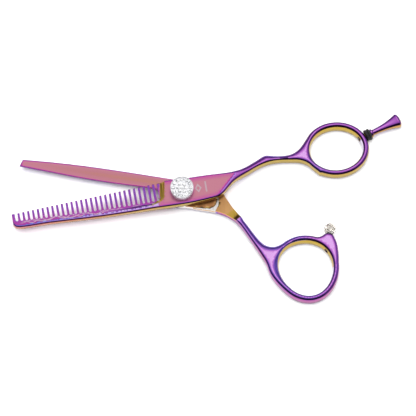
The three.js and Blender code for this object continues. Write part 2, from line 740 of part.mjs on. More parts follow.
// Faceted ball with a flat where it sits on the stud and a blind hole for the stud's tip.
function bumperCrystal() {
  const lift = Math.sqrt(bumperRadius ** 2 - 1.3 ** 2);
  const ball = new THREE.IcosahedronGeometry(bumperRadius, 1);
  ball.rotateX(0.55).translate(bumperX, bumperSeatY + bumperFlange + lift - 0.35, bumperMidZ);
  const seat = bumperSeatY + bumperFlange;
  const below = block(bumperX - 4, bumperX + 4, seat - 4, seat, -2, ringHeight + 2);
  const hole = rod(bumperThreadRadius + slideFit, -1, bumperFlange + 0.7, bumperSeat, 90, 20);
  return solid(ball).subtract(below).subtract(hole);
}

// ---- Assembly ------------------------------------------------------------------------------

function paint(color, roughness, metalness) {
  return new THREE.MeshStandardMaterial({ color, roughness, metalness });
}

function piece(group, name, body, color, roughness = 0.3, metalness = 1) {
  const mesh = new THREE.Mesh(geometryOf(body), paint(color, roughness, metalness));
  mesh.name = name;
  group.add(mesh);
}

const shears = new THREE.Group();
shears.name = 'thinning_shears';
const toothedSide = new THREE.Group();
const plainSide = new THREE.Group();
toothedSide.rotation.z = radians(openAngle / 2);
plainSide.rotation.z = -radians(openAngle / 2);
shears.add(toothedSide, plainSide);

piece(toothedSide, 'toothed_half', toothedHalf(), 0xb04ad0, 0.22);
piece(toothedSide, 'pivot_bush', pivotBush(), 0xe8e4d8, 0.5, 0);
piece(toothedSide, 'thrust_washer', thrustWasher(), 0x2b2024, 0.5, 0);
piece(toothedSide, 'finger_rest_washer', restWasher(), 0x17171a, 0.7, 0);
piece(toothedSide, 'finger_rest', fingerRest(), 0xa656c4, 0.2);

piece(plainSide, 'plain_half', plainHalf(), 0xb85aa8, 0.22);
piece(plainSide, 'pivot_stud', pivotStud(), 0xc8c8cc, 0.25);
piece(plainSide, 'glide_washer', glideWasher(), 0xf0efe8, 0.5, 0);
piece(plainSide, 'wave_washer', waveWasher(), 0x9a9aa0, 0.3);
piece(plainSide, 'click_plate', clickPlate(), 0xa8a8ac, 0.3);
piece(plainSide, 'tension_dial', tensionDial(), 0xd6d6da, 0.15);
for (const { name, body } of stones()) piece(plainSide, name, body, 0xf2f4f8, 0.05, 0);
piece(plainSide, 'bumper_stud', bumperStud(), 0x9c9ca2, 0.3);
piece(plainSide, 'bumper_crystal', bumperCrystal(), 0xe8eef2, 0.05, 0);

export default shears;
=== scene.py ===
import math

import bpy
import numpy as np
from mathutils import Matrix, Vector, geometry, kdtree


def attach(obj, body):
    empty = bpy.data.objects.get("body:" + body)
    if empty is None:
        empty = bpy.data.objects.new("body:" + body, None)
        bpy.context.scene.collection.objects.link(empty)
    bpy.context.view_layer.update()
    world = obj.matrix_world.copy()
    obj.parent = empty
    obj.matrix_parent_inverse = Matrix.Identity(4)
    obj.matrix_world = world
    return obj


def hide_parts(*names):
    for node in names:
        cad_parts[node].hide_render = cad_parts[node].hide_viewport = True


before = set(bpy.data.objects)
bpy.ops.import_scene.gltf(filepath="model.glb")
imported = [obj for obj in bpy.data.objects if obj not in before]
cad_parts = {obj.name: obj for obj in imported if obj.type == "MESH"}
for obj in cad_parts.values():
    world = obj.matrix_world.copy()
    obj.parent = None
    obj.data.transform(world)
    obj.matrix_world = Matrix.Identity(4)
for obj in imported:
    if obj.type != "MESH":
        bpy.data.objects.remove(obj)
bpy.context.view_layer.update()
MM = 0.001


# ---- Shader sums ----

def math_node(operation, swapped=False):
    """A method that adds one Math node; swapped puts the value it is called on last."""
    def added(self, *others):
        terms = (*others, self) if swapped else (self, *others)
        return self.finish.node("ShaderNodeMath", {"operation": operation}, dict(enumerate(terms)))
    return added


class Value:
    """A number that changes over a surface; arithmetic on it adds Math nodes."""

    def __init__(self, finish, socket):
        self.finish, self.socket = finish, socket

    __add__ = __radd__ = math_node("ADD")
    __sub__, __rsub__ = math_node("SUBTRACT"), math_node("SUBTRACT", swapped=True)
    __mul__ = __rmul__ = math_node("MULTIPLY")
    __truediv__, __rtruediv__ = math_node("DIVIDE"), math_node("DIVIDE", swapped=True)
    __pow__ = math_node("POWER")
    __abs__ = math_node("ABSOLUTE")
    lowest, highest = math_node("MINIMUM"), math_node("MAXIMUM")
    sine, angle = math_node("SINE"), math_node("ARCCOSINE")

    def step(self, low, high):
        """0 below low, 1 above high, and a smooth rise between; high may be the lower one."""
        return self.finish.node("ShaderNodeMapRange", {"interpolation_type": "SMOOTHSTEP", "clamp": True},
                                {"Value": self, "From Min": low, "From Max": high})


class Nodes:
    """A node tree that is built one node at a time."""

    def __init__(self, tree):
        self.tree = tree

    def node(self, kind, settings=None, inputs=None, output=0):
        made = self.tree.nodes.new(kind)
        for key, value in (settings or {}).items():
            if key == "stops":
                stops = made.color_ramp.elements
                while len(stops) < len(value):
                    stops.new(1.0)
                for stop, (place, color) in zip(stops, value):
                    stop.position, stop.color = place, (*color, 1.0)
            else:
                setattr(made, key, value)
        for key, value in (inputs or {}).items():
            socket = made.inputs[key]
            for part in value if isinstance(value, list) else [value]:
                if isinstance(part, Value):
                    self.tree.links.new(part.socket, socket)
                else:
                    socket.default_value = part
        return Value(self, made.outputs[output])

    def parts(self, vector):
        split = self.node("ShaderNodeSeparateXYZ", inputs={0: vector})
        return [Value(self, split.socket.node.outputs[i]) for i in range(3)]

    def point(self, x, y, z):
        return self.node("ShaderNodeCombineXYZ", inputs={0: x, 1: y, 2: z})


class Finish(Nodes):
    """A material and the nodes that make it."""

    def __init__(self, name, **fixed):
        self.material = bpy.data.materials.new(name)
        self.material.use_nodes = True
        super().__init__(self.material.node_tree)
        self.shader = next(n for n in self.tree.nodes if n.type == "BSDF_PRINCIPLED")
        for socket, value in fixed.items():
            self.shader.inputs[socket.replace("_", " ").title().replace("Ior", "IOR")].default_value = value

    def place(self):
        return self.node("ShaderNodeTexCoord", output="Object")

    def kept(self, name, output="Fac"):
        """What the mesh carries at each point under this name."""
        return self.node("ShaderNodeAttribute", {"attribute_name": name}, output=output)

    def tilt(self):
        """How far the surface leans from level, 0 for level and 1 for upright."""
        normal = self.node("ShaderNodeTexCoord", output="Normal")
        upward = abs(self.parts(normal)[2]).lowest(1.0)
        return upward.angle() * (2 / math.pi)

    def scaled(self, vector, scale):
        return self.node("ShaderNodeMapping", {}, {"Vector": vector, "Scale": scale})

    def noise(self, vector, scale, detail=3.0, roughness=0.55):
        return self.node("ShaderNodeTexNoise", {},
                         {"Vector": vector, "Scale": scale, "Detail": detail, "Roughness": roughness})

    def ramp(self, value, *stops):
        return self.node("ShaderNodeValToRGB", {"stops": stops}, {0: value})

    def mix(self, amount, first, second):
        first, second = ((*c, 1.0) if isinstance(c, tuple) else c for c in (first, second))
        return self.node("ShaderNodeMix", {"data_type": "RGBA"}, {0: amount, 6: first, 7: second}, 2)

    def set(self, **links):
        for socket, value in links.items():
            self.tree.links.new(value.socket, self.shader.inputs[socket.replace("_", " ").title()])

    def bump(self, height, distance, strength):
        self.set(normal=self.node("ShaderNodeBump", {},
                                  {"Height": height, "Distance": distance, "Strength": strength}))


def srgb(red, green, blue):
    """An 8-bit colour as the shader's linear numbers."""
    shares = (c / 255 for c in (red, green, blue))
    return tuple(c / 12.92 if c <= 0.04045 else ((c + 0.055) / 1.055) ** 2.4 for c in shares)


# ---- Finishes ----

def engraving(f):
    """1 on the pale lines etched in the toothed half: a double wave on the blade, a lozenge and a bar."""
    along, across, rise = f.parts(f.kept("plan", "Vector"))
    lines = 0.0
    for reach, length, shift in ((0.62, 11.3, 0.0), (0.55, 6.7, 2.0)):
        wave = rise - (1.95 + reach * (along * (2 * math.pi / length) + shift).sine())
        lines = abs(wave).step(0.26, 0.14) + lines
    lines = lines * along.step(-70.5, -66.0) * along.step(-9.0, -13.0)
    lozenge = abs(along - 6.9) * 0.9 + abs(across + 0.35) * 0.62
    mark = abs(lozenge - 0.95).step(0.42, 0.24)
    bar = abs(along - 10.2).step(0.42, 0.22) * abs(across + 0.15).step(2.5, 2.2)
    return (lines.lowest(1.0) + (mark + bar) * along.step(3.0, 4.0)).lowest(1.0)


def rainbow_coat():
    """Titanium-coated steel: the colour follows the lean of the surface, the rim, the tone and the film. Over
    the coating's hues, level tops are painted pale as a highlight and leaning faces darker as painted shade;
    the palest film and tone values are painted highlights and the darkest tone paints shade lines.
    """
    f = Finish("rainbow_titanium_coat", metallic=1.0)
    place = f.place()
    drift = f.noise(place, 55.0, 2.0)
    lean = f.tilt() + (drift - 0.5) * 0.06
    # Colour by lean: the coating's hues plus a painted highlight where the surface is level, darkening to
    # painted shade as it leans towards upright.
    rounded = f.ramp(
        lean, (0.00, srgb(226, 172, 240)), (0.05, srgb(204, 130, 218)), (0.12, srgb(168, 92, 188)),
        (0.24, srgb(134, 68, 168)), (0.38, srgb(102, 54, 150)), (0.60, srgb(80, 34, 74)))
    cool = f.noise(place, 30.0, 1.0).step(0.48, 0.66) * lean.step(0.02, 0.12)
    rounded = f.mix(cool * 0.5, rounded, srgb(96, 92, 202))
    # The pale end of this ramp is a painted highlight: film values near 1 paint glints and light on walls.
    walls = f.ramp(
        f.kept("film") + (drift - 0.5) * 0.12, (0.00, srgb(172, 145, 58)), (0.30, srgb(186, 114, 92)),
        (0.50, srgb(164, 84, 144)), (0.75, srgb(120, 84, 186)), (1.00, srgb(226, 222, 220)))
    rim = f.kept("rim")
    tone = f.kept("tone")
    broad = tone.step(0.3, 0.45) * tone.step(0.74, 0.70)
    border = 0.10 * rim.step(2.8, 1.1) + 0.14 * rim.step(1.1, 0.45) + 0.26 * rim.step(0.5, 0.15)
    edged = tone - broad * border
    grain = f.noise(f.scaled(place, (2600.0, 160.0, 160.0)), 1.0, 3.0, 0.6)
    # The pale lilac and blue stops near 0.03 give the painted highlight along the toothed half's spine bevel,
    # the dark brown at 0.965 gives painted shade lines and the pale stop at 1.00 a painted highlight.
    faces = f.ramp(
        edged + (grain - 0.5) * 0.06 * tone.step(0.3, 0.45),
        (0.00, srgb(214, 150, 238)), (0.03, srgb(206, 180, 236)), (0.06, srgb(110, 136, 214)),
        (0.10, srgb(108, 74, 180)), (0.14, srgb(142, 58, 164)), (0.20, srgb(170, 56, 152)),
        (0.34, srgb(202, 88, 166)), (0.50, srgb(204, 134, 152)), (0.62, srgb(198, 130, 140)),
        (0.70, srgb(198, 136, 122)), (0.78, srgb(168, 114, 72)), (0.86, srgb(210, 162, 108)),
        (0.93, srgb(194, 160, 70)), (0.965, srgb(70, 40, 26)), (1.00, srgb(234, 230, 228)))
    flat = (lean.step(0.18, 0.05) * tone.step(0.005, 0.02)).highest(tone.step(0.74, 0.78))
    color = f.mix(flat, f.mix(lean.step(0.62, 0.76), rounded, walls), faces)
    etched = engraving(f) * flat
    color = f.mix(etched * 0.75, color, srgb(222, 206, 214))
    brushed = tone.step(0.3, 0.45) * flat
    f.set(base_color=color, roughness=0.16 + 0.16 * brushed + 0.2 * etched + (drift - 0.5) * 0.05)
    f.bump(grain * brushed + drift * 0.02 - etched * 0.8, 0.00002, 0.6)
    return f.material


def plain_steel(name, color, rough, metallic=1.0):
    f = Finish(name, metallic=metallic)
    place = f.place()
    rings = f.noise(f.scaled(place, (300.0, 300.0, 4200.0)), 1.0, 3.0)
    f.set(base_color=f.ramp(rings, (0.3, tuple(0.82 * c for c in color)), (0.7, color)),
          roughness=rough + (rings - 0.5) * 0.12)
    f.bump(rings, 0.00001, 0.4)
    return f.material


def nylon(name, color, rough=0.45):
    f = Finish(name)
    speck = f.noise(f.place(), 1800.0, 2.0)
    f.set(base_color=f.ramp(speck, (0.3, tuple(0.8 * c for c in color)), (0.7, color)),
          roughness=rough + speck * 0.15)
    f.bump(speck, 0.00002, 0.3)
    return f.material


def foiled_stone():
    f = Finish("foiled_clear_stone", metallic=0.4, coat_weight=1.0, coat_roughness=0.02)
    cloud = f.noise(f.place(), 900.0, 1.0)
    # The random glint per facet picks dark, grey or white: painted glints and painted dark reflections.
    glint = f.kept("glint") + (cloud - 0.5) * 0.3
    f.set(base_color=f.ramp(glint, (0.06, srgb(96, 98, 104)), (0.26, srgb(184, 185, 190)),
                            (0.48, srgb(246, 246, 247))),
          roughness=0.05 + cloud * 0.06)
    return f.material


def clear_stone():
    f = Finish("clear_glass_stone", ior=1.6, transmission_weight=0.93)
    cloud = f.noise(f.place(), 600.0, 1.0)
    f.set(base_color=f.ramp(cloud, (0.3, srgb(216, 212, 202)), (0.7, srgb(240, 236, 230))),
          roughness=0.01 + cloud * 0.03)
    return f.material


COAT = rainbow_coat()
CHROME = plain_steel("dial_chrome", srgb(236, 236, 240), 0.2, 0.65)
STEEL = plain_steel("turned_steel", srgb(186, 186, 192), 0.28)
DARK_STEEL = plain_steel("dark_steel", srgb(66, 64, 70), 0.3)
PALE_NYLON = nylon("pale_nylon", srgb(226, 222, 208))
# The dark nylon of the thrust washer also stands in as painted shade in the gap under the dial.
GAP_SHADE_NYLON = nylon("dark_nylon", srgb(34, 24, 30))
RUBBER = nylon("black_rubber", srgb(26, 26, 28), 0.5)
FOILED = foiled_stone()
CLEAR = clear_stone()


# ---- Outlines ----
# Both halves are laid out in millimetres as they lie when the shears are shut, blades to -X.

OPEN_ANGLE = 19.5
RING_WALL = 2.8
RING_HEIGHT = 5.0
BLADE = 72.4
BLADE_WIDTH = 11.6
SHANK = 11.4
PLAIN_BLADE = 69.8
PLAIN_OUTER, PLAIN_INNER, TOOTHED_INNER, TOOTHED_OUTER = 0.6, 3.8, 4.0, 7.2
BORE, SQUARE_HOLE = 3.2, 2.35  # radius in the toothed half, half width in the plain half
INNER_ROUND = 2.9  # height of the rounding along the rings' inner edges
BUMPER_X, BUMPER_Y, BUMPER_Z = 64.1, -7.55, 2.65
FINGER_RING = dict(x=67.7, y=8.6, long=12.5, short=10.8, tilt=-3.5, lobe=0.0)
THUMB_RING = dict(x=57.0, y=-24.3, long=13.5, short=12.5, tilt=-56.0, lobe=0.35)


def curve_through(points, steps):
    """Centripetal Catmull-Rom curve through the points."""
    p = [2 * points[0] - points[1], *points, 2 * points[-1] - points[-2]]
    line = []
    for a, b, c, d in zip(p, p[1:], p[2:], p[3:]):
        ab, bc, cd = (max(np.linalg.norm(v - u) ** 0.5, 1e-4) for u, v in ((a, b), (b, c), (c, d)))
        lead = ((b - a) / ab - (c - a) / (ab + bc) + (c - b) / bc) * bc
        tail = ((c - b) / bc - (d - b) / (bc + cd) + (d - c) / cd) * bc
        second, third = 3 * (c - b) - 2 * lead - tail, 2 * (b - c) + lead + tail
        line.extend(b + lead * t + second * t * t + third * t ** 3 for t in np.arange(steps) / steps)
    return np.array([*line, points[-1]])


def ring_point(ring, turn, out=0.0):
    tilt = math.radians(ring["tilt"])
    out = out + ring["lobe"] * np.cos(3 * (turn + tilt - math.radians(50)))
    x, y = ring["long"] * np.cos(turn), ring["short"] * np.sin(turn)
    nx, ny = x / ring["long"] ** 2, y / ring["short"] ** 2
    size = np.hypot(nx, ny)
    x, y = x + out * nx / size, y + out * ny / size
    return np.stack([ring["x"] + x * math.cos(tilt) - y * math.sin(tilt),
                     ring["y"] + x * math.sin(tilt) + y * math.cos(tilt)], -1)


def ring_loop(ring, out):
    return ring_point(ring, np.linspace(0, 2 * math.pi, 121)[:-1], out)


FINGER_HOLE, THUMB_HOLE = ring_loop(FINGER_RING, 0.0), ring_loop(THUMB_RING, 0.0)


def arm_loop(stations):
    """Closed outline and its two sides from rows of (edge A x, y, edge B x, y)."""
    table = np.array(stations, float)
    side_a, side_b = curve_through(list(table[:, :2]), 6), curve_through(list(table[:, 2:]), 6)
    return np.concatenate([side_a, side_b[::-1]]), side_a, side_b


def circle(radius, sides=64):
    turn = np.linspace(0, 2 * math.pi, sides, endpoint=False)
    return np.stack([radius * np.cos(turn), radius * np.sin(turn)], -1)


def toothed_outline():
    w, h, ring = BLADE_WIDTH, SHANK, FINGER_RING
    upper = ring_point(ring, np.array([2.52, 2.22]), RING_WALL / 2 - 0.25)
    blade = ((0, 0.155, -0.27), (1.2 / BLADE, 0.16, -0.38), (0.21, 0.235, -0.425), (0.5, 0.34, -0.5),
             (0.7, 0.41, -0.52), (0.84, 0.46, -0.53))
    arm, side_a, side_b = arm_loop([
        *(((way - 1) * BLADE, a * w, (way - 1) * BLADE, b * w) for way, a, b in blade),
        (-6.5, 0.47 * h, -6.5, -0.55 * h), (3, 0.445 * h, 3, -0.555 * h), (11, 0.435 * h, 11, -0.51 * h),
        (14.6, 0.425 * h, 14.4, -0.47 * h), (18.2, 0.42 * h, 17.1, -0.36 * h),
        (21.6, 0.43 * h, 19.8, -0.15 * h), (24, 5.3, 22.1, 0.3), (26.4, 5.9, 24.7, 1.8),
        (29.6, 7.2, 28.6, 3.6), (33.9, 9.3, 34.2, 6.1), (37.4, 10.9, 38.8, 7.25),
        (40.9, 10.1, 42.2, 7.35), (44.9, 9.4, 45.3, 7.0), (48.8, 9.6, 48.7, 6.5),
        (52.2, 11.3, 51.6, 5.9), (54.6, 13.8, 54.3, 4.3), (*upper[0], ring["x"] - 11.0, ring["y"] - 6.9),
        (*upper[1], ring["x"] - 8.6, ring["y"] - 10.3)])
    pitch, gap, end_tooth, count, past_tips = 2.07, 1.08, 1.35, 30, 9.0
    roots = np.array([[-BLADE, -0.13 * w], [-0.62 * BLADE, -0.28 * w], [-0.1 * BLADE, -0.225 * w]])
    slots = []
    for i in range(count):
        x = -BLADE + end_tooth + gap / 2 + i * pitch
        t = (x + BLADE) / (0.9 * BLADE)
        root = (1 - t) ** 2 * roots[0, 1] + 2 * t * (1 - t) * roots[1, 1] + t * t * roots[2, 1] + gap / 4
        turn = np.linspace(math.pi, 2 * math.pi, 7)
        arc = np.stack([x + gap / 2 * np.cos(turn), root + gap / 2 * np.sin(turn)], -1)
        slots.append(np.array([[x - gap / 2, past_tips], *arc, [x + gap / 2, past_tips]]))
    added = [arm, ring_loop(ring, RING_WALL / 2)]
    return added, [ring_loop(ring, -RING_WALL / 2), circle(BORE), *slots], side_a, side_b


def plain_outline():
    blade, h, ring = PLAIN_BLADE, SHANK, THUMB_RING
    upper = ring_point(ring, np.array([3.42, 3.2, 3.05]), RING_WALL / 2 - 0.25)
    lower = [ring_point(ring, turn, RING_WALL / 2 + out)
             for turn, out in ((4.45, 1.5), (4.74, 0.6), (5.05, 0.05))]
    arm, side_a, side_b = arm_loop([
        (0.9 - blade, 3.45, -blade, 0.2), (-0.82 * blade, 4.35, -0.82 * blade, -0.25),
        (-0.62 * blade, 5.05, -0.62 * blade, -0.7), (-0.4 * blade, 5.35, -0.4 * blade, -0.65),
        (-0.2 * blade, 5.4, -0.2 * blade, -0.15), (-9.5, 0.475 * h, -10.5, -0.3),
        (-6.0, 0.475 * h, -6.6, -0.44 * h), (-1.5, 0.47 * h, -2.0, -0.54 * h),
        (4.4, 0.465 * h, 4.4, -0.495 * h), (9.5, 0.46 * h, 9, -0.505 * h), (13.6, 0.42 * h, 13.4, -0.495 * h),
        (16.6, 0.29 * h, 17.2, -0.515 * h), (18.9, 0.6, 20.4, -6.6), (21.9, -2.6, 22.5, -7.5),
        (24.7, -5.1, 23.6, -8.0), (26.2, -6.5, 25.0, -8.95), (27.3, -7.5, 26.1, -9.85),
        (29.4, -9.4, 27.9, -11.6), (33.2, -13.1, 31.0, -14.9), (36.5, -15.9, 34.0, -18.1),
        (39.4, -17.2, 36.8, -21.2), (42.3, -17.1, 39.6, -24.4), (44.9, -15.6, 40.9, -26.4),
        *((*a, *b) for a, b in zip(upper, lower))])
    horn, _, _ = arm_loop([(BUMPER_X + a, BUMPER_Y - below_a, BUMPER_X - b, BUMPER_Y - below_b)
                           for a, below_a, b, below_b in (
                               (6.1, 11.6, 8.6, 4.9), (5.1, 7.2, 5.4, 3.2), (3.9, 3.6, 3.2, 1.9),
                               (2.4, 1.2, 1.9, 0.8), (1.7, 0, 1.7, 0))])
    square = SQUARE_HOLE * np.array([[-1, -1], [1, -1], [1, 1], [-1, 1]])
    added = [arm, ring_loop(ring, RING_WALL / 2), horn]
    return added, [ring_loop(ring, -RING_WALL / 2), square], side_a, side_b


def inside(loop, spots):
    """Which spots lie inside a closed loop."""
    x, y = spots[:, 0:1], spots[:, 1:2]
    a, b = loop, np.roll(loop, -1, 0)
    crosses = (a[:, 1] > y) != (b[:, 1] > y)
    rise = np.where(np.abs(b[:, 1] - a[:, 1]) < 1e-12, 1e-12, b[:, 1] - a[:, 1])
    return (crosses & (x < a[:, 0] + (y - a[:, 1]) * (b[:, 0] - a[:, 0]) / rise)).sum(1) % 2 == 1


def triangulate(spots, edges):
    edges = [tuple(map(int, e)) for e in edges]
    found = geometry.delaunay_2d_cdt([Vector(s) for s in spots], edges, [], 0, 1e-5)
    return np.array([tuple(v) for v in found[0]]), np.array(found[2])


def spot_tree(spots):
    """A search tree for the nearest of the spots."""
    tree = kdtree.KDTree(len(spots))
    for i, spot in enumerate(spots):
        tree.insert((*spot, 0.0), i)
    tree.balance()
    return tree


def merged_loops(added, cut):
    """Outline loops of everything added, less everything cut."""
    spots, edges = [], []
    for loop in [*added, *cut]:
        start = len(spots)
        spots.extend(loop)
        edges.extend((start + i, start + (i + 1) % len(loop)) for i in range(len(loop)))
    verts, faces = triangulate(spots, edges)
    middles = verts[faces].mean(1)
    solid, empty = (np.any([inside(loop, middles) for loop in group], 0) for group in (added, cut))
    faces = faces[solid & ~empty]
    directed = {(f[i], f[(i + 1) % 3]) for f in faces.tolist() for i in range(3)}
    onward = {a: b for a, b in directed if (b, a) not in directed}
    loops = []
    while onward:
        first, spot = onward.popitem()
        loop = [first]
        while spot != first:
            loop.append(spot)
            spot = onward.pop(spot)
        loops.append(verts[loop])
    return loops


def respaced(loop, spacing, corner=32.0):
    """The loop with even spacing between its sharp corners, which are kept."""
    into = loop - np.roll(loop, 1, 0)
    away = np.roll(loop, -1, 0) - loop
    cross = into[:, 0] * away[:, 1] - into[:, 1] * away[:, 0]
    turn = np.abs(np.degrees(np.arctan2(cross, (into * away).sum(1))))
    corners = np.flatnonzero(turn > corner)
    if len(corners) == 0:
        corners = np.array([0])
    made = []
    for start, end in zip(corners, [*corners[1:], corners[0] + len(loop)]):
        run = loop[np.arange(start, end + 1) % len(loop)]
        along = np.concatenate([[0], np.cumsum(np.linalg.norm(np.diff(run, axis=0), axis=1))])
        count = max(1, round(along[-1] / spacing))
        places = np.linspace(0, along[-1], count + 1)[:-1]
        made.append(np.stack([np.interp(places, along, run[:, k]) for k in (0, 1)], -1))
    return np.concatenate(made)


def eased(loop, amount, passes=14):
    """Rounds the loop where amount is 1 and leaves it where amount is 0."""
    for _ in range(passes):
        pull = (np.roll(loop, 1, 0) + np.roll(loop, -1, 0)) / 2 - loop
        loop = loop + 0.5 * amount[:, None] * pull
    return loop


def smooth_line(knots, blur):
    """Height along X through the knots, with its corners blurred."""
    xs = np.arange(-90.0, 100.0, 0.1)
    raw = np.interp(xs, *zip(*knots))
    reach = np.arange(-4 * blur, 4 * blur + 0.05, 0.1)
    weight = np.exp(-0.5 * (reach / blur) ** 2)
    padded = np.pad(raw, len(reach) // 2, mode="edge")
    made = np.convolve(padded, weight / weight.sum(), "valid")[: len(xs)]
    return lambda x: np.interp(x, xs, made)


def eases(x, low, high):
    t = np.clip((x - low) / (high - low), 0, 1)
    return t * t * (3 - 2 * t)


class Face:
    """The upper or lower face of a forging: its height, the rounding along its edges and its tone."""

    def __init__(self, height, edge, tone, creases=(), rows=(), spacing=0.8):
        self.height, self.edge, self.tone = height, edge, tone
        self.creases, self.rows, self.spacing = creases, rows, spacing


def crisp(where, size, radius, height):
    """The rounding's radius and height, both brought down to one small size round a bore."""
    return np.where(where, size, radius), np.where(where, size, height)


class Boundary:
    """All outline loops of a forging as one set of short edges."""

    def __init__(self, loops):
        self.spots = np.concatenate(loops)
        starts = np.cumsum([0, *map(len, loops)])
        self.next = np.concatenate([np.roll(np.arange(a, b), -1) for a, b in zip(starts, starts[1:])])
        self.loops = loops
        ahead = self.spots[self.next] - self.spots
        ahead /= np.linalg.norm(ahead, axis=1)[:, None]
        behind = np.empty_like(ahead)
        behind[self.next] = ahead
        inward = np.stack([-(ahead + behind)[:, 1], (ahead + behind)[:, 0]], -1)
        self.inward = inward / np.maximum(np.linalg.norm(inward, axis=1), 1e-9)[:, None]
        self.tree = spot_tree(self.spots)

    def holds(self, spots):
        crossed = np.zeros(len(spots), int)
        for loop in self.loops:
            crossed += inside(loop, spots)
        return crossed % 2 == 1

    def gap(self, spots):
        return np.array([self.tree.find((*s, 0.0))[2] for s in spots])

    def drop(self, spots, radius, height):
        """How far the outline's rounding lowers the face at each spot, and how near the outline is."""
        drops, nearest = np.zeros(len(spots)), np.full(len(spots), 9.0)
        a, b = self.spots, self.spots[self.next]
        reach = 3.2
        for low in np.arange(spots[:, 0].min(), spots[:, 0].max() + 2, 2.0):
            here = np.flatnonzero((spots[:, 0] >= low) & (spots[:, 0] < low + 2.0))
            near = np.flatnonzero((a[:, 0] > low - reach) & (a[:, 0] < low + 2.0 + reach))
            if not len(here) or not len(near):
                continue
            start, along = a[near], b[near] - a[near]
            off = spots[here][:, None] - start[None]
            t = np.clip((off * along).sum(2) / (along ** 2).sum(1), 0, 1)
            d = np.linalg.norm(off - t[:, :, None] * along, axis=2)
            r = radius[near] * (1 - t) + radius[self.next[near]] * t
            h = height[near] * (1 - t) + height[self.next[near]] * t
            short = 1 - np.clip(d / r, 0, 1)
            drops[here] = (h * (1 - np.sqrt(np.clip(1 - short ** 2, 0, 1)))).max(1)
            nearest[here] = d.min(1)
        return drops, nearest


def face_points(edge, face):
    """Spots and faces that triangulate one face of a forging, the outline's own spots first."""
    radius, height = face.edge(edge.spots, -edge.inward)
    count = len(edge.spots)
    rows = [edge.spots]
    for turn in (18, 36, 54, 72, 90):
        share = 1 - math.cos(math.radians(turn))
        fine = (radius > 0.3) | (turn in (54, 90))
        row = edge.spots[fine] + edge.inward[fine] * (radius[fine] * share)[:, None]
        clear = edge.gap(row) >= 0.96 * radius[fine] * share
        rows.append(row[clear & edge.holds(row)])
    lines, line_edges = [], []
    total = sum(map(len, rows))
    for line in face.creases:
        sound = edge.holds(line) & (edge.gap(line) > 0.12)
        for run in np.split(np.arange(len(line)), np.flatnonzero(~sound)):
            run = run[sound[run]]
            if len(run) > 1:
                line_edges.extend((total + i, total + i + 1) for i in range(len(run) - 1))
                lines.append(line[run])
                total += len(run)
    laid = rows + lines
    taken = spot_tree(np.concatenate(laid))
    low, high = edge.spots.min(0), edge.spots.max(0)
    xs, ys = np.meshgrid(np.arange(low[0], high[0], face.spacing), np.arange(low[1], high[1], face.spacing))
    xs = xs + (np.arange(xs.shape[0]) % 2)[:, None] * face.spacing / 2
    grid = np.stack([xs.ravel(), ys.ravel()], -1)
    free = [row[edge.holds(row) & (edge.gap(row) > 0.15)] for row in face.rows if len(row)]
    grid = grid[edge.holds(grid)]
    grid = np.array([g for g in grid if taken.find((*g, 0.0))[2] > 0.42 * face.spacing])
    if free:
        near_rows = spot_tree(np.concatenate(free))
        grid = np.array([g for g in grid if near_rows.find((*g, 0.0))[2] > 0.3])
    spots = np.concatenate([*laid, *free, grid])
    loop_edges = list(zip(range(count), edge.next))
    verts, faces = triangulate(spots, loop_edges + line_edges)
    assert np.abs(verts[:count] - edge.spots).max() < 1e-4, "outline spots moved"
    faces = faces[edge.holds(verts[faces].mean(1))]
    return verts, faces, radius, height


def plain_mesh(name, points, faces, smooth=True):
    mesh = bpy.data.meshes.new(name)
    mesh.from_pydata([tuple(map(float, p)) for p in points], [], [tuple(map(int, f)) for f in faces])
    mesh.validate()
    mesh.polygons.foreach_set("use_smooth", [smooth] * len(mesh.polygons))
    return mesh


def store(mesh, key, values):
    mesh.attributes.new(key, "FLOAT", "POINT").data.foreach_set("value", values.astype(np.float32))


def added_object(name, data):
    made = bpy.data.objects.new(name, data)
    bpy.context.scene.collection.objects.link(made)
    return made


def forging(name, outline, easing, upper, lower, film, angle, engraved=False):
    """A closed forging between two faces, turned about the pivot to where it is stored."""
    added, cut, _, side_b = outline
    loops = []
    for loop in merged_loops(added, cut):
        area = 0.5 * abs(np.sum(loop[:, 0] * np.roll(loop[:, 1], -1) - loop[:, 1] * np.roll(loop[:, 0], -1)))
        if area > 0.3:
            loop = respaced(loop, 0.3)
            loops.append(eased(loop, easing(loop)))
    edge = Boundary(loops)
    points, faces, rims, tones, starts = [], [], [], [], []
    for face, upwards in ((upper, 1), (lower, -1)):
        spots, tris, radius, height = face_points(edge, face)
        drop, gap = edge.drop(spots, radius, height)
        gap[: len(edge.spots)] = 0
        level = face.height(spots) - upwards * drop
        start = sum(map(len, points))
        starts.append(start)
        points.append(np.column_stack([spots, level]))
        faces.append(start + (tris if upwards > 0 else tris[:, ::-1]))
        rims.append(gap)
        tones.append(face.tone(spots))
    ids = np.arange(len(edge.spots))
    quads = np.stack([starts[0] + edge.next, starts[0] + ids, starts[1] + ids, starts[1] + edge.next], -1)
    points = np.concatenate(points)
    turn = math.radians(angle)
    spin = np.array([[math.cos(turn), -math.sin(turn), 0], [math.sin(turn), math.cos(turn), 0], [0, 0, 1]])
    mesh = plain_mesh(name, points @ spin.T * MM, (*faces[0], *faces[1], *quads))
    kept = {"rim": np.concatenate(rims), "tone": np.concatenate(tones), "film": film(points)}
    for key, values in kept.items():
        store(mesh, key, values)
    if engraved:
        rise = points[:, 1] - np.interp(points[:, 0], side_b[:, 0], side_b[:, 1])
        plan = np.column_stack([points[:, :2], rise]).astype(np.float32)
        mesh.attributes.new("plan", "FLOAT_VECTOR", "POINT").data.foreach_set("vector", plan.ravel())
    mesh.set_sharp_from_angle(angle=math.radians(38))
    return added_object(name, mesh)


def side_line(side):
    """Y along one side of an outline for any X."""
    return lambda x: np.interp(x, side[:, 0], side[:, 1])


# ---- The toothed half ----

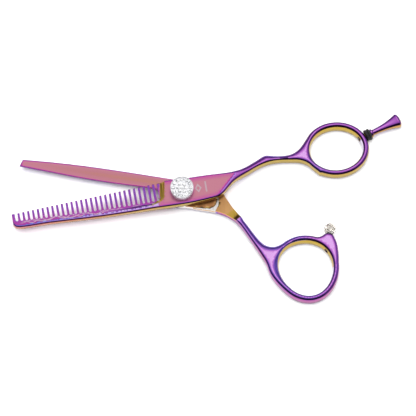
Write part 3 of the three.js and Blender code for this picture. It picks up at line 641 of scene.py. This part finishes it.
toothed_plan = toothed_outline()
toothed_a, toothed_b = map(side_line, toothed_plan[2:])
toothed_top = smooth_line([(-73, 6.5), (-36, 6.5), (-22, 6.7), (-12, TOOTHED_OUTER), (20.5, TOOTHED_OUTER),
                           (23.5, 6.85), (27, 6.3), (31, 5.8), (35, 5.4), (39, 5.1), (46, 4.98),
                           (90, 4.98)], 1.4)
toothed_base = smooth_line([(-73, TOOTHED_INNER), (21.2, TOOTHED_INNER), (23.4, 3.5), (25.6, 1.9), (29, 1.0),
                            (34, 0.6), (39, 0.3), (50, 0.05), (90, 0.02)], 0.8)
hollow_turn = np.linspace(0, math.pi / 2, 24)
hollow_edge = np.concatenate([
    np.stack([-7.5 + 0.17 * np.arange(7.0, -1.15, -0.3), np.arange(7.0, -1.15, -0.3)], -1),
    np.stack([-14.2 + 6.5 * np.cos(hollow_turn), -1.15 - 3.5 * np.sin(hollow_turn)], -1),
    [[x, toothed_b(x) + 1.0 + 0.45 * (x + 73) / 58] for x in np.arange(-14.7, -BLADE, -0.5)]])
hollow_region = np.concatenate([hollow_edge, [[-80, hollow_edge[-1, 1]], [-80, 12], [hollow_edge[0, 0], 12]]])
hollow_tree = spot_tree(hollow_edge)


def hollow_share(spots):
    """0 at the edge of the hollow-ground face and 1 where its round step has run out."""
    found = [hollow_tree.find((*s, 0.0)) for s in spots]
    gap = np.array([f[2] for f in found])
    width = np.interp([f[0].x for f in found], [-15, -8.2, -7.6], [0.9, 1.9, 2.3])
    return gap / width


def toothed_upper_height(spots):
    top = toothed_top(spots[:, 0])
    ground = 6.48 - 0.12 * (spots[:, 1] - toothed_b(spots[:, 0]) - 1.0)
    cut = inside(hollow_region, spots)
    share = np.clip(hollow_share(spots), 0, 1)
    return np.where(cut, np.minimum(top, ground + (top - ground) * (1 - share) ** 2.2), top)


def toothed_upper_edge(spots, outward):
    x, y = spots.T
    upper = eases(outward[:, 1], -0.3, 0.3)
    radius_a = np.interp(x, [14, 22, 29, 36, 45, 54, 60], [0.45, 1.2, 2.6, 3.2, 2.2, 2.2, 1.38])
    height_a = np.interp(x, [14, 22, 29, 36, 45, 54, 60], [0.35, 1.0, 1.8, 2.2, 1.8, 1.8, 1.4])
    radius_b = np.interp(x, [-73, -12, -5, 16, 24, 40, 52, 58], [0.75, 0.85, 1.0, 1.0, 1.1, 1.2, 1.25, 1.35])
    height_b = np.interp(x, [-73, -12, -5, 16, 24, 40, 52, 58], [0.8, 0.85, 0.75, 0.8, 1.0, 1.1, 1.2, 1.4])
    radius = radius_b + (radius_a - radius_b) * upper
    height = height_b + (height_a - height_b) * upper
    height = np.where(inside(FINGER_HOLE, spots), INNER_ROUND, height)
    toothed = (x < -8.2) & (y > toothed_b(x) + 1.0)
    tips = toothed & (y > toothed_a(x) - 0.12)
    radius = np.where(tips, 0.4, np.where(toothed, 0.08, radius))
    height = np.where(tips, 0.25, np.where(toothed, 0.06, height))
    return crisp(np.hypot(x, y) < BORE + 0.8, 0.1, radius, height)


def toothed_upper_tone(spots):
    x, y = spots.T
    past = (x - 14.6) * 0.715 - (y + 4.84) * 0.70
    tone = 0.5 * (1 - eases(past, -0.5, 0.5))
    cut = inside(hollow_region, spots)
    share = hollow_share(spots)
    heel = cut & (share < 0.95) & (x > -13.5)
    rise = y - toothed_b(x)
    tone = np.where(cut, np.interp(rise, [1.4, 2.9, 4.0, 6.0], [0.22, 0.19, 0.15, 0.1217]), tone)
    # The heel's cove is gold with a painted shade band where the tone dips towards dark brown.
    tone = np.where(heel, np.interp(share, [0, 0.5, 0.8, 0.95], [0.93, 0.93, 0.955, 0.93]), tone)
    tone = np.where((tone < 0.13) & (x > 0), 0.0, tone)
    # The spine's bevel strip gets pale lilac and blue tones: a painted highlight along the bevel.
    return np.where(~cut & (x < -10.5), np.interp(x, [-66, -30, -9], [0.06, 0.03, 0.02]), tone)


def toothed_film(points):
    """Gold walls and rose along the blade's spine; the walls of the slots are painted pale as a highlight,
    and a painted glint lies on the far side of the ring's hole.
    """
    x, y, z = points.T
    hole = inside(FINGER_HOLE, points[:, :2])
    # Painted glint on the ring's far inner wall.
    far = 0.92 * (hole & (x > FINGER_RING["x"] + 9.6) & (y < FINGER_RING["y"] + 2.5))
    spine = np.where((x < -9) & (z > 5.2), np.interp(x, [-60, -20], [0.34, 0.1]), far)
    # Painted highlight on the walls of the slots between the teeth.
    return np.where((x < -8.6) & (y > toothed_b(x) + 1.4), 0.95, spine)


def toothed_lower_height(spots):
    return toothed_base(spots[:, 0])


def toothed_lower_edge(spots, outward):
    x, y = spots.T
    arm = eases(x, 18.0, 30.0)
    radius, height = 0.08 + 1.0 * arm, 0.06 + 0.94 * arm
    return crisp(np.hypot(x, y) < BORE + 0.8, 0.1, radius, height)


def toothed_lower_tone(spots):
    return np.interp(spots[:, 0], [-73, -10, 8, 20, 26], [0.66, 0.7, 0.74, 0.9, 0.0])


def offset_rows(line, gaps):
    """Copies of a line moved to its left by each gap."""
    ahead = np.gradient(line, axis=0)
    ahead /= np.linalg.norm(ahead, axis=1)[:, None]
    return [line + np.stack([ahead[:, 1], -ahead[:, 0]], -1) * gap for gap in gaps]


heel_line = hollow_edge[hollow_edge[:, 0] > -16]
toothed_upper = Face(toothed_upper_height, toothed_upper_edge, toothed_upper_tone,
                     [hollow_edge], offset_rows(heel_line, (0.15, 0.35, 0.6, 0.95, 1.4, 1.9)), 0.7)
toothed_lower = Face(toothed_lower_height, toothed_lower_edge, toothed_lower_tone, (), (), 0.9)
toothed = forging("toothed_forging", toothed_plan, lambda p: eases(p[:, 0], 14, 19), toothed_upper,
                  toothed_lower, toothed_film, OPEN_ANGLE / 2, engraved=True)


# ---- The plain half ----

plain_plan = plain_outline()
plain_a, plain_b = map(side_line, plain_plan[2:])
ARM_START, ARM_WAY, ARM_ACROSS = np.array([22.2, -5.05]), np.array([0.764, -0.645]), [0.645, 0.764]
CREST = 4.3  # how far along the arm its flat heel ends


def arm_way(spots):
    return (spots - ARM_START) @ ARM_WAY


MOON_KNOTS = ((14.0, 5.4), (15.0, 2.0), (15.1, -1.4), (14.8, -3.0), (12.9, -4.75), (11.0, -5.05),
              (8.0, -5.35), (5.2, -5.75), (2.5, -6.4))
RECESS_KNOTS = ((15.6, 6.5), (16.0, -0.8), (15.86, -3.4), (15.24, -5.7), (14.4, -8.0))
moon_edge = curve_through(list(map(np.array, MOON_KNOTS)), 6)
moon = np.concatenate([moon_edge, [[2.5, 9.0], [13.0, 9.0]]])
recess_side = curve_through(list(map(np.array, RECESS_KNOTS)), 5)
recess_region = np.concatenate([recess_side, [[2.5, -9.0], [2.5, 9.0]]])


def neck_hole(x, y):
    """Along the square hole of the pivot stud."""
    return (np.hypot(x, y) < 4.5) & (np.abs(x) < 2.6) & (np.abs(y) < 2.6)


def plain_upper_height(spots):
    way = arm_way(spots)
    rise = 1.15 * np.clip((way - 1.3) / (CREST - 1.3), 0, 1) ** 2.4
    handle = eases(way, CREST, 10.0) * 0.05
    level = PLAIN_INNER + rise + handle
    sunk = inside(recess_region, spots) & ~inside(moon, spots)
    return np.where(sunk, level - 0.45, level)


def plain_upper_edge(spots, outward):
    x, y = spots.T
    arm = eases(arm_way(spots), CREST - 1.5, CREST + 2.5) * (x > 15)
    upper = eases(outward[:, 1], -0.3, 0.3)
    wide = np.interp(x, [28, 38, 46, 52], [1.8, 2.8, 2.4, 1.38])
    narrow = np.interp(x, [28, 38, 46, 52], [1.0, 1.1, 1.3, 1.38])
    radius = 0.22 + arm * (narrow + (wide - narrow) * upper - 0.22)
    height = 0.16 + arm * (0.9 * radius + 0.1 - 0.16)
    height = np.where(inside(THUMB_HOLE, spots), INNER_ROUND, height)
    blade = x < -12
    radius = np.where(blade, 0.14 + 0.25 * upper, radius)
    height = np.where(blade, 0.08 + 0.14 * upper, height)
    return crisp(neck_hole(x, y), 0.06, radius, height)


def plain_upper_tone(spots):
    x, way = spots[:, 0], arm_way(spots)
    tone = np.interp(x, [-70, -12, 10, 17], [0.60, 0.69, 0.74, 0.76])
    # Gold rising towards the crest, with a painted dark shade line just before it.
    gold = np.interp(way, [-5.0, -0.8, -0.6, 2.4, 2.7, CREST - 0.1, CREST],
                     [0.83, 0.86, 0.92, 0.94, 0.96, 0.965, 0.0])
    tone = np.where(x > 15, gold, tone)
    tone = np.where(inside(moon, spots) & (x > 2.5), 0.79, tone)
    # The recess round the half-moon gets the palest tone: a painted highlight where its polished hollow faces
    # the light.
    return np.where(inside(recess_region, spots) & ~inside(moon, spots), 1.0, tone)


def plain_film(points):
    """Pale under the half-moon as a painted highlight, gold inside the ring with a painted glint at its far
    side, and pink everywhere else.
    """
    spots = points[:, :2]
    x, y = spots.T
    hole = inside(THUMB_HOLE, spots)
    # Painted glint on the far inner wall of the ring.
    far = 0.92 * (x - 0.7 * y > THUMB_RING["x"] + 26.5)
    pink = np.where(hole, far, 0.5)
    shank = (x > -9) & (x < 17) & (y < 0)
    # Painted highlight on the walls under the half-moon.
    return np.where(shank, np.interp(x, [-2, 0, 15.0, 16.5], [0.5, 1.0, 1.0, 0.5]), pink)


def plain_thickness(x):
    return np.interp(x, [-PLAIN_BLADE, -57, -43, -28, -14, -10, 0], [2.0, 2.3, 2.5, 2.6, 2.8, 3.1, 3.2])


plain_base = smooth_line([(-75, 0), (20, 0), (26, -0.15), (30, -0.35), (36, -0.5), (90, -0.58)], 1.5)


def plain_lower_height(spots):
    x = spots[:, 0]
    return np.where(x < 5, PLAIN_INNER - plain_thickness(x), PLAIN_OUTER + plain_base(x))


def plain_lower_edge(spots, outward):
    x, y = spots.T
    lower = 1 - eases(outward[:, 1], -0.3, 0.3)
    width = plain_a(x) - plain_b(x)
    blade = 1 - eases(x, -15.0, -8.0)
    arm = eases(x, 20.0, 30.0)
    thick = plain_thickness(x)
    radius = 0.6 + arm * 0.6 + blade * (0.5 + lower * (0.72 * width - 1.1))
    height = 0.5 + arm * 0.6 + blade * (0.4 * thick - 0.5 + lower * 0.5 * thick)
    return crisp(neck_hole(x, y), 0.06, radius, height)


def plain_lower_tone(spots):
    return np.interp(spots[:, 0], [-70, -14, -8, 19, 26], [0.2, 0.3, 0.5, 0.5, 0.0])


crest_line = ARM_START + ARM_WAY * CREST + np.outer(np.arange(-4, 4, 0.3), ARM_ACROSS)
moon_edges = [moon_edge, offset_rows(moon_edge, (-0.04,))[0]]
recess_edges = [recess_side, offset_rows(recess_side, (0.04,))[0]]
plain_upper = Face(plain_upper_height, plain_upper_edge, plain_upper_tone,
                   [crest_line, crest_line - ARM_WAY * 0.05, *moon_edges, *recess_edges],
                   [crest_line - ARM_WAY * g for g in (0.3, 0.6, 1.0, 1.5, 2.1, 2.7)], 0.8)
plain_lower = Face(plain_lower_height, plain_lower_edge, plain_lower_tone, (), (), 0.8)
plain = forging("plain_forging", plain_plan, lambda p: eases(p[:, 0], 22, 28), plain_upper, plain_lower,
                plain_film, -OPEN_ANGLE / 2)


# ---- Pieces grown by Geometry Nodes ----

class Growth(Nodes):
    """A Geometry Nodes tree with named sizes, run once on a starting mesh and kept as a plain mesh."""

    def __init__(self, name, **sizes):
        super().__init__(bpy.data.node_groups.new(name, "GeometryNodeTree"))
        sockets = self.tree.interface
        sockets.new_socket("Geometry", in_out="INPUT", socket_type="NodeSocketGeometry")
        sockets.new_socket("Geometry", in_out="OUTPUT", socket_type="NodeSocketGeometry")
        self.values = {}
        for key, value in sizes.items():
            kind = "NodeSocketInt" if isinstance(value, int) else "NodeSocketFloat"
            self.values[sockets.new_socket(key, in_out="INPUT", socket_type=kind).identifier] = value
        self.start = self.tree.nodes.new("NodeGroupInput")
        self.name = name

    def size(self, key):
        return Value(self, self.start.outputs[key])

    def lifted(self, geometry, key):
        rise = self.point(0.0, 0.0, self.size(key))
        return self.node("GeometryNodeTransform", {}, {"Geometry": geometry, "Translation": rise})

    def grown(self, geometry, mesh, material):
        real = self.node("GeometryNodeRealizeInstances", inputs={"Geometry": geometry})
        coated = self.node("GeometryNodeSetMaterial", inputs={"Geometry": real, "Material": material})
        end = self.tree.nodes.new("NodeGroupOutput")
        self.tree.links.new(coated.socket, end.inputs["Geometry"])
        seed = added_object(self.name, mesh)
        modifier = seed.modifiers.new("growth", "NODES")
        modifier.node_group = self.tree
        for key, value in self.values.items():
            modifier[key] = value
        result = bpy.data.meshes.new_from_object(seed.evaluated_get(bpy.context.evaluated_depsgraph_get()))
        seed.modifiers.clear()
        seed.data = result
        return seed


def lathed(name, profile, sides, shift=0.0, smooth=True):
    """Closed skin round Z of a profile in millimetres; shift turns each row against the last."""
    points, rows = [], []
    for k, (r, z) in enumerate(profile):
        if r < 1e-6:
            rows.append([len(points)] * sides)
            points.append((0, 0, z * MM))
            continue
        rows.append(list(range(len(points), len(points) + sides)))
        turns = (np.arange(sides) + shift * k) / sides * 2 * math.pi
        points.extend((r * MM * math.cos(t), r * MM * math.sin(t), z * MM) for t in turns)
    faces = []
    for one, two in zip(rows, rows[1:] + (rows[:1] if profile[0][0] > 1e-6 else [])):
        for k in range(sides):
            n = (k + 1) % sides
            for face in ((one[k], one[n], two[n]), (one[k], two[n], two[k])):
                if len(set(face)) == 3:
                    faces.append(face)
    mesh = plain_mesh(name, points, faces, smooth)
    if smooth:
        mesh.set_sharp_from_angle(angle=math.radians(35))
    return mesh


DIAL_BASE, DIAL_TOP, DIAL_R, CUP_FLOOR, CUP_R = 7.55, 10.45, 4.9, 9.95, 4.65


def dial_nut():
    """Well for the stud, hollow underside, ribbed skirt, rounded lip and a shallow cup for the stones."""
    well, well_top, roof, skirt = 1.85, 9.7, 8.42, 4.76
    profile = [(0, well_top), (well, well_top), (well, roof), (4.2, roof), (4.2, DIAL_BASE),
               (4.66, DIAL_BASE), (skirt, 7.66), (skirt, 9.72), (4.82, 9.84), (DIAL_R, 9.94), (DIAL_R, 10.3),
               (4.86, 10.4),
               (4.78, DIAL_TOP), (4.7, 10.42), (CUP_R, 10.3), (CUP_R, CUP_FLOOR), (0, CUP_FLOOR)]
    body = lathed("dial_body", profile, 144)
    g = Growth("dial_nut", Ribs=72, Radius=4.77 * MM, Rib=0.12 * MM, Height=1.9 * MM, Foot=8.7 * MM)
    ring = g.node("GeometryNodeMeshCircle", {}, {"Vertices": g.size("Ribs"), "Radius": g.size("Radius")})
    rib = g.node("GeometryNodeMeshCylinder", {},
                 {"Vertices": 8, "Radius": g.size("Rib"), "Depth": g.size("Height")})
    lifted = g.lifted(ring, "Foot")
    ribs = g.node("GeometryNodeInstanceOnPoints", {}, {"Points": lifted, "Instance": rib})
    both = g.node("GeometryNodeJoinGeometry", inputs={"Geometry": [ribs, g.size("Geometry")]})
    return g.grown(both, body, CHROME)


def stone_setting():
    """One stone in the middle and two rings round it, each turned its own way."""
    r = 0.9
    rows = [(0, 0), (0.94 * r, 0), (r, 0.1), (0.82 * r, 0.27), (0.5 * r, 0.43), (0, 0.46)]
    gem = lathed("gem", rows, 8, 0.5, False)
    g = Growth("stone_setting", Inner=6, Outer=12, Inner_Radius=1.83 * MM, Outer_Radius=3.72 * MM,
               Floor=CUP_FLOOR * MM, Seed=7)
    circles = [g.node("GeometryNodeMeshCircle", {}, {"Vertices": g.size(n), "Radius": g.size(n + "_Radius")})
               for n in ("Inner", "Outer")]
    middle = g.node("GeometryNodeMeshLine", {}, {"Count": 1})
    spots = g.node("GeometryNodeJoinGeometry", inputs={"Geometry": [*circles, middle]})
    turn = g.node("FunctionNodeRandomValue", {"data_type": "FLOAT_VECTOR"},
                  {0: (-0.02, -0.02, -3.0), 1: (0.02, 0.02, 3.0), "Seed": g.size("Seed")})
    gems = g.node("GeometryNodeInstanceOnPoints", {},
                  {"Points": g.lifted(spots, "Floor"), "Instance": g.size("Geometry"), "Rotation": turn})
    real = g.node("GeometryNodeRealizeInstances", inputs={"Geometry": gems})
    # A random glint value for each facet, which the stone finish paints as a glint or a dark reflection.
    shade = g.node("FunctionNodeRandomValue", {"data_type": "FLOAT"},
                   {2: 0.0, 3: 1.0, "Seed": g.size("Seed")}, 1)
    marked = g.node("GeometryNodeStoreNamedAttribute", {"data_type": "FLOAT", "domain": "FACE"},
                    {"Geometry": real, "Name": "glint", "Value": shade})
    return g.grown(marked, gem, FOILED)


def ring_reach(ring, degrees):
    """From the ring's middle to the middle of its wall."""
    turn = math.radians(degrees - ring["tilt"])
    long, short = ring["long"], ring["short"]
    return long * short / math.hypot(short * math.cos(turn), long * math.sin(turn))


REST_ANGLE = 17.2
REST_REACH = ring_reach(FINGER_RING, REST_ANGLE)
REST_SEAT = REST_REACH + RING_WALL / 2 + 0.35
REST_START = REST_SEAT + 2.2
REST_LENGTH, REST_GAP = 14.4, 0.03
REST_SHANK, STUD_RADIUS = 1.0, 0.85


def turned_about_pivot(x, y, degrees):
    turn = math.radians(degrees)
    return x * math.cos(turn) - y * math.sin(turn), x * math.sin(turn) + y * math.cos(turn)


def laid_along(mesh, middle, height, degrees):
    """Turns a mesh drawn round +Z so that its axis points outwards in plan from a spot."""
    cos, sin = math.cos(math.radians(degrees)), math.sin(math.radians(degrees))
    for vertex in mesh.vertices:
        x, y, z = vertex.co
        along, across, up = z, y, -x
        vertex.co = (along * cos - across * sin + middle[0] * MM, along * sin + across * cos + middle[1] * MM,
                     up + height * MM)
    return mesh


RING_MIDDLE = turned_about_pivot(FINGER_RING["x"], FINGER_RING["y"], OPEN_ANGLE / 2)
REST_WAY = REST_ANGLE + OPEN_ANGLE / 2


def finger_rest():
    """Collar, slim neck and flared, domed end; the section grows from round to a soft square."""
    g = Growth("finger_rest_body", Start=REST_START + REST_GAP, Length=REST_LENGTH - 2 * REST_GAP, Neck=1.25,
               Flare=3.0, High=2.34, Growth=2.2, Dome=1.5)
    tube = g.node("GeometryNodeMeshCylinder", {},
                  {"Vertices": 64, "Side Segments": 150, "Fill Segments": 1, "Radius": 1.0, "Depth": 1.0})
    x, y, z = g.parts(g.node("GeometryNodeInputPosition"))
    along = (z + 0.5) * g.size("Length")
    round_out = (x * x + y * y) ** 0.5
    grow = ((along - 1.3) / (g.size("Length") - 2.7)).highest(0.0).lowest(1.0) ** g.size("Growth")
    collar = along.step(1.25, 0.8)
    lip = along.step(0.0, 0.22)
    waist = (g.size("Neck") + (1.8 - g.size("Neck")) * collar) * (0.88 + 0.12 * lip)
    past = ((along - (g.size("Length") - g.size("Dome"))) / g.size("Dome")).highest(0.0)
    dome = (1 - past * past).highest(0.0) ** 0.5
    square = 2.0 + grow
    out = (abs(x) ** square + abs(y) ** square).highest(1e-6) ** (-1.0 / square)
    wide = (waist + (g.size("Flare") - waist) * grow) * dome
    high = (waist + (g.size("High") - waist) * grow) * dome
    shell = round_out.step(0.0, 1.0)
    reach, across, up = along + g.size("Start"), y * out * wide * shell, x * out * high * shell
    cos, sin = math.cos(math.radians(REST_WAY)), math.sin(math.radians(REST_WAY))
    spot = g.point((reach * cos - across * sin + RING_MIDDLE[0]) * MM,
                   (reach * sin + across * cos + RING_MIDDLE[1]) * MM, (up + RING_HEIGHT / 2) * MM)
    shaped = g.node("GeometryNodeSetPosition", inputs={"Geometry": tube, "Position": spot})
    filmed = g.node("GeometryNodeStoreNamedAttribute", {"data_type": "FLOAT", "domain": "POINT"},
                    {"Geometry": shaped, "Name": "film", "Value": 0.1})
    inner, outer, bevel = REST_REACH - RING_WALL / 2 - 0.3, REST_START + 0.3, 0.14
    shank = lathed("rest_shank", [(0, inner), (REST_SHANK - bevel, inner), (REST_SHANK, inner + bevel),
                                  (REST_SHANK, outer), (0, outer)], 40)
    laid_along(shank, RING_MIDDLE, RING_HEIGHT / 2, REST_WAY)
    # The shank's end, deep in the ring's hole, gets the darkest tone: painted shade of the hole.
    store(shank, "tone", np.full(len(shank.vertices), 0.965))
    smooth = g.node("GeometryNodeSetShadeSmooth", inputs={"Geometry": filmed})
    both = g.node("GeometryNodeJoinGeometry", inputs={"Geometry": [smooth, g.size("Geometry")]})
    return g.grown(both, shank, COAT)


def rest_washer():
    """Two soft lips with a groove between them; the second half mirrors the first."""
    hole, r, middle = REST_SHANK + 0.05, RING_HEIGHT / 2, (REST_SEAT + REST_START) / 2
    lip = [(hole, REST_SEAT), (r - 0.3, REST_SEAT), (r - 0.08, REST_SEAT + 0.08), (r, REST_SEAT + 0.3),
           (r, middle - 0.3), (r - 0.1, middle - 0.22)]
    profile = [*lip, (r - 0.28, middle), *((radius, 2 * middle - z) for radius, z in reversed(lip))]
    mesh = laid_along(lathed("rest_washer", profile, 64), RING_MIDDLE, RING_HEIGHT / 2, REST_WAY)
    return added_object("rest_washer", mesh)


BALL_R, BALL_SEAT = 2.65, 0.35
BUMPER_SPOT = turned_about_pivot(BUMPER_X, BUMPER_Y, -OPEN_ANGLE / 2)
BUMPER_WAY = 90 - OPEN_ANGLE / 2


def bumper_ball():
    """Faceted clear ball with a flat where it sits and a blind hole for the stud."""
    middle = BALL_SEAT + math.sqrt(BALL_R ** 2 - 1.3 ** 2) - 0.35
    hole_end = BALL_SEAT + 0.7
    low = math.asin((BALL_SEAT - middle) / BALL_R)
    rows = [(BALL_R * math.cos(turn), middle + BALL_R * math.sin(turn))
            for turn in np.linspace(low, math.pi / 2, 6)[1:-1]]
    profile = [(0, hole_end), (STUD_RADIUS, hole_end), (STUD_RADIUS, BALL_SEAT),
               (BALL_R * math.cos(low), BALL_SEAT), *rows, (0, middle + BALL_R)]
    ball = lathed("bumper_ball", profile, 8, 0.5, False)
    return added_object("bumper_ball", laid_along(ball, BUMPER_SPOT, BUMPER_Z, BUMPER_WAY))


def drilled(piece, drill):
    """Cuts a hole through a forging with another mesh."""
    cutter = added_object("drill", drill)
    modifier = piece.modifiers.new("hole", "BOOLEAN")
    modifier.operation, modifier.solver, modifier.object = "DIFFERENCE", "EXACT", cutter
    result = bpy.data.meshes.new_from_object(piece.evaluated_get(bpy.context.evaluated_depsgraph_get()))
    piece.modifiers.clear()
    piece.data = result
    bpy.data.objects.remove(cutter)


def hole_rod(radius, low, high, middle, height, degrees):
    rod = lathed("hole", [(0, low), (radius, low), (radius, high), (0, high)], 32)
    return laid_along(rod, middle, height, degrees)


# ---- Who stands for what ----

def finished(piece, body, slot, material, *nodes):
    piece.data.materials.clear()
    piece.data.materials.append(material)
    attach(piece, body)
    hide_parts(*nodes)


drilled(toothed, hole_rod(REST_SHANK + 0.06, REST_REACH - 3.0, REST_REACH + 3.0, RING_MIDDLE, RING_HEIGHT / 2,
                          REST_WAY))
drilled(plain, hole_rod(STUD_RADIUS + 0.01, -11.0, 1.0, BUMPER_SPOT, BUMPER_Z, BUMPER_WAY))
stone_nodes = [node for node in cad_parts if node.startswith("stone_")]
finished(toothed, "finger_side", "toothed_half_coat", COAT, "toothed_half")
finished(plain, "thumb_side", "plain_half_coat", COAT, "plain_half")
finished(dial_nut(), "dial", "dial_chrome", CHROME, "tension_dial")
finished(stone_setting(), "dial", "clear_stone", FOILED, *stone_nodes)
finished(finger_rest(), "rest", "finger_rest_coat", COAT, "finger_rest")
finished(rest_washer(), "finger_side", "black_rubber", RUBBER, "finger_rest_washer")
finished(bumper_ball(), "thumb_side", "clear_stone", CLEAR, "bumper_crystal")

# The thrust washer's dark nylon doubles as painted shade in the gap under the dial.
for node, material in {"pivot_stud": STEEL, "pivot_bush": PALE_NYLON, "glide_washer": PALE_NYLON,
                       "thrust_washer": GAP_SHADE_NYLON, "wave_washer": STEEL, "click_plate": STEEL,
                       "bumper_stud": DARK_STEEL}.items():
    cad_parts[node].data.materials.clear()
    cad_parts[node].data.materials.append(material)


# ---- Studio ----

def card_floor():
    mesh, half = bpy.data.meshes.new("floor"), 1.6
    corners = [(-half, -half, 0), (half, -half, 0), (half, half, 0), (-half, half, 0)]
    mesh.from_pydata(corners, [], [(0, 1, 2, 3)])
    f = Finish("white_card", roughness=0.9)
    fibre = f.noise(f.place(), 900.0, 2.0)
    f.set(base_color=f.ramp(fibre, (0.3, (0.93, 0.93, 0.93)), (0.7, (0.95, 0.95, 0.95))))
    f.shader.inputs["Specular IOR Level"].default_value = 0.0
    mesh.materials.append(f.material)
    floor = added_object("floor", mesh)


def studio_world():
    """A bright cap overhead, tilted to the back, over a dim room that is lighter at the back and right."""
    world = bpy.data.worlds.new("studio")
    bpy.context.scene.world = world
    world.use_nodes = True
    shade = next(n for n in world.node_tree.nodes if n.type == "BACKGROUND")
    f = Nodes(world.node_tree)
    x, y, z = f.parts(f.node("ShaderNodeTexCoord", output="Generated"))
    tent = (0.259 * y + 0.966 * z).step(0.72, 0.82)
    back = y.step(-0.1, 0.5)
    side = x.step(0.6, 0.85) * z.step(0.62, 0.45)
    dim = 0.05 + 0.33 * back + 0.75 * side
    below = z.step(-0.02, -0.12)
    strength = (dim + (1.0 - dim) * tent) * (1 - below) + 0.9 * below
    f.tree.links.new(strength.socket, shade.inputs["Strength"])
    shade.inputs["Color"].default_value = (1.0, 1.0, 1.0, 1.0)


def softboxes():
    for name, spot, size, power in (("key_softbox", (-0.18, 0.16, 0.95), 1.3, 14.0),
                                    ("fill_softbox", (0.4, -0.4, 0.9), 1.2, 6.0)):
        light = bpy.data.lights.new(name, "AREA")
        light.shape, light.size, light.size_y, light.energy = "RECTANGLE", size, size, power
        lamp = added_object(name, light)
        lamp.location = spot
        lamp.rotation_euler = (-Vector(spot)).to_track_quat("-Z", "Y").to_euler()
        lamp.visible_glossy = False


def camera():
    """Long lens, 69 degrees above the floor, with the pivot left of the middle of the frame."""
    elevation, lens, sensor, width = math.radians(69), 400.0, 36.0, 0.17553
    aim = Vector((10.97 * MM, -5.42 * MM, 0))
    data = bpy.data.cameras.new("camera")
    data.lens, data.sensor_width, data.clip_end = lens, sensor, 20.0
    away = Vector((0, -math.cos(elevation), math.sin(elevation)))
    made = added_object("camera", data)
    made.location = aim + away * width * lens / sensor
    made.rotation_euler = (-away).to_track_quat("-Z", "Y").to_euler()
    bpy.context.scene.camera = made


card_floor()
studio_world()
softboxes()
camera()
bpy.context.scene.view_settings.view_transform = "Standard"
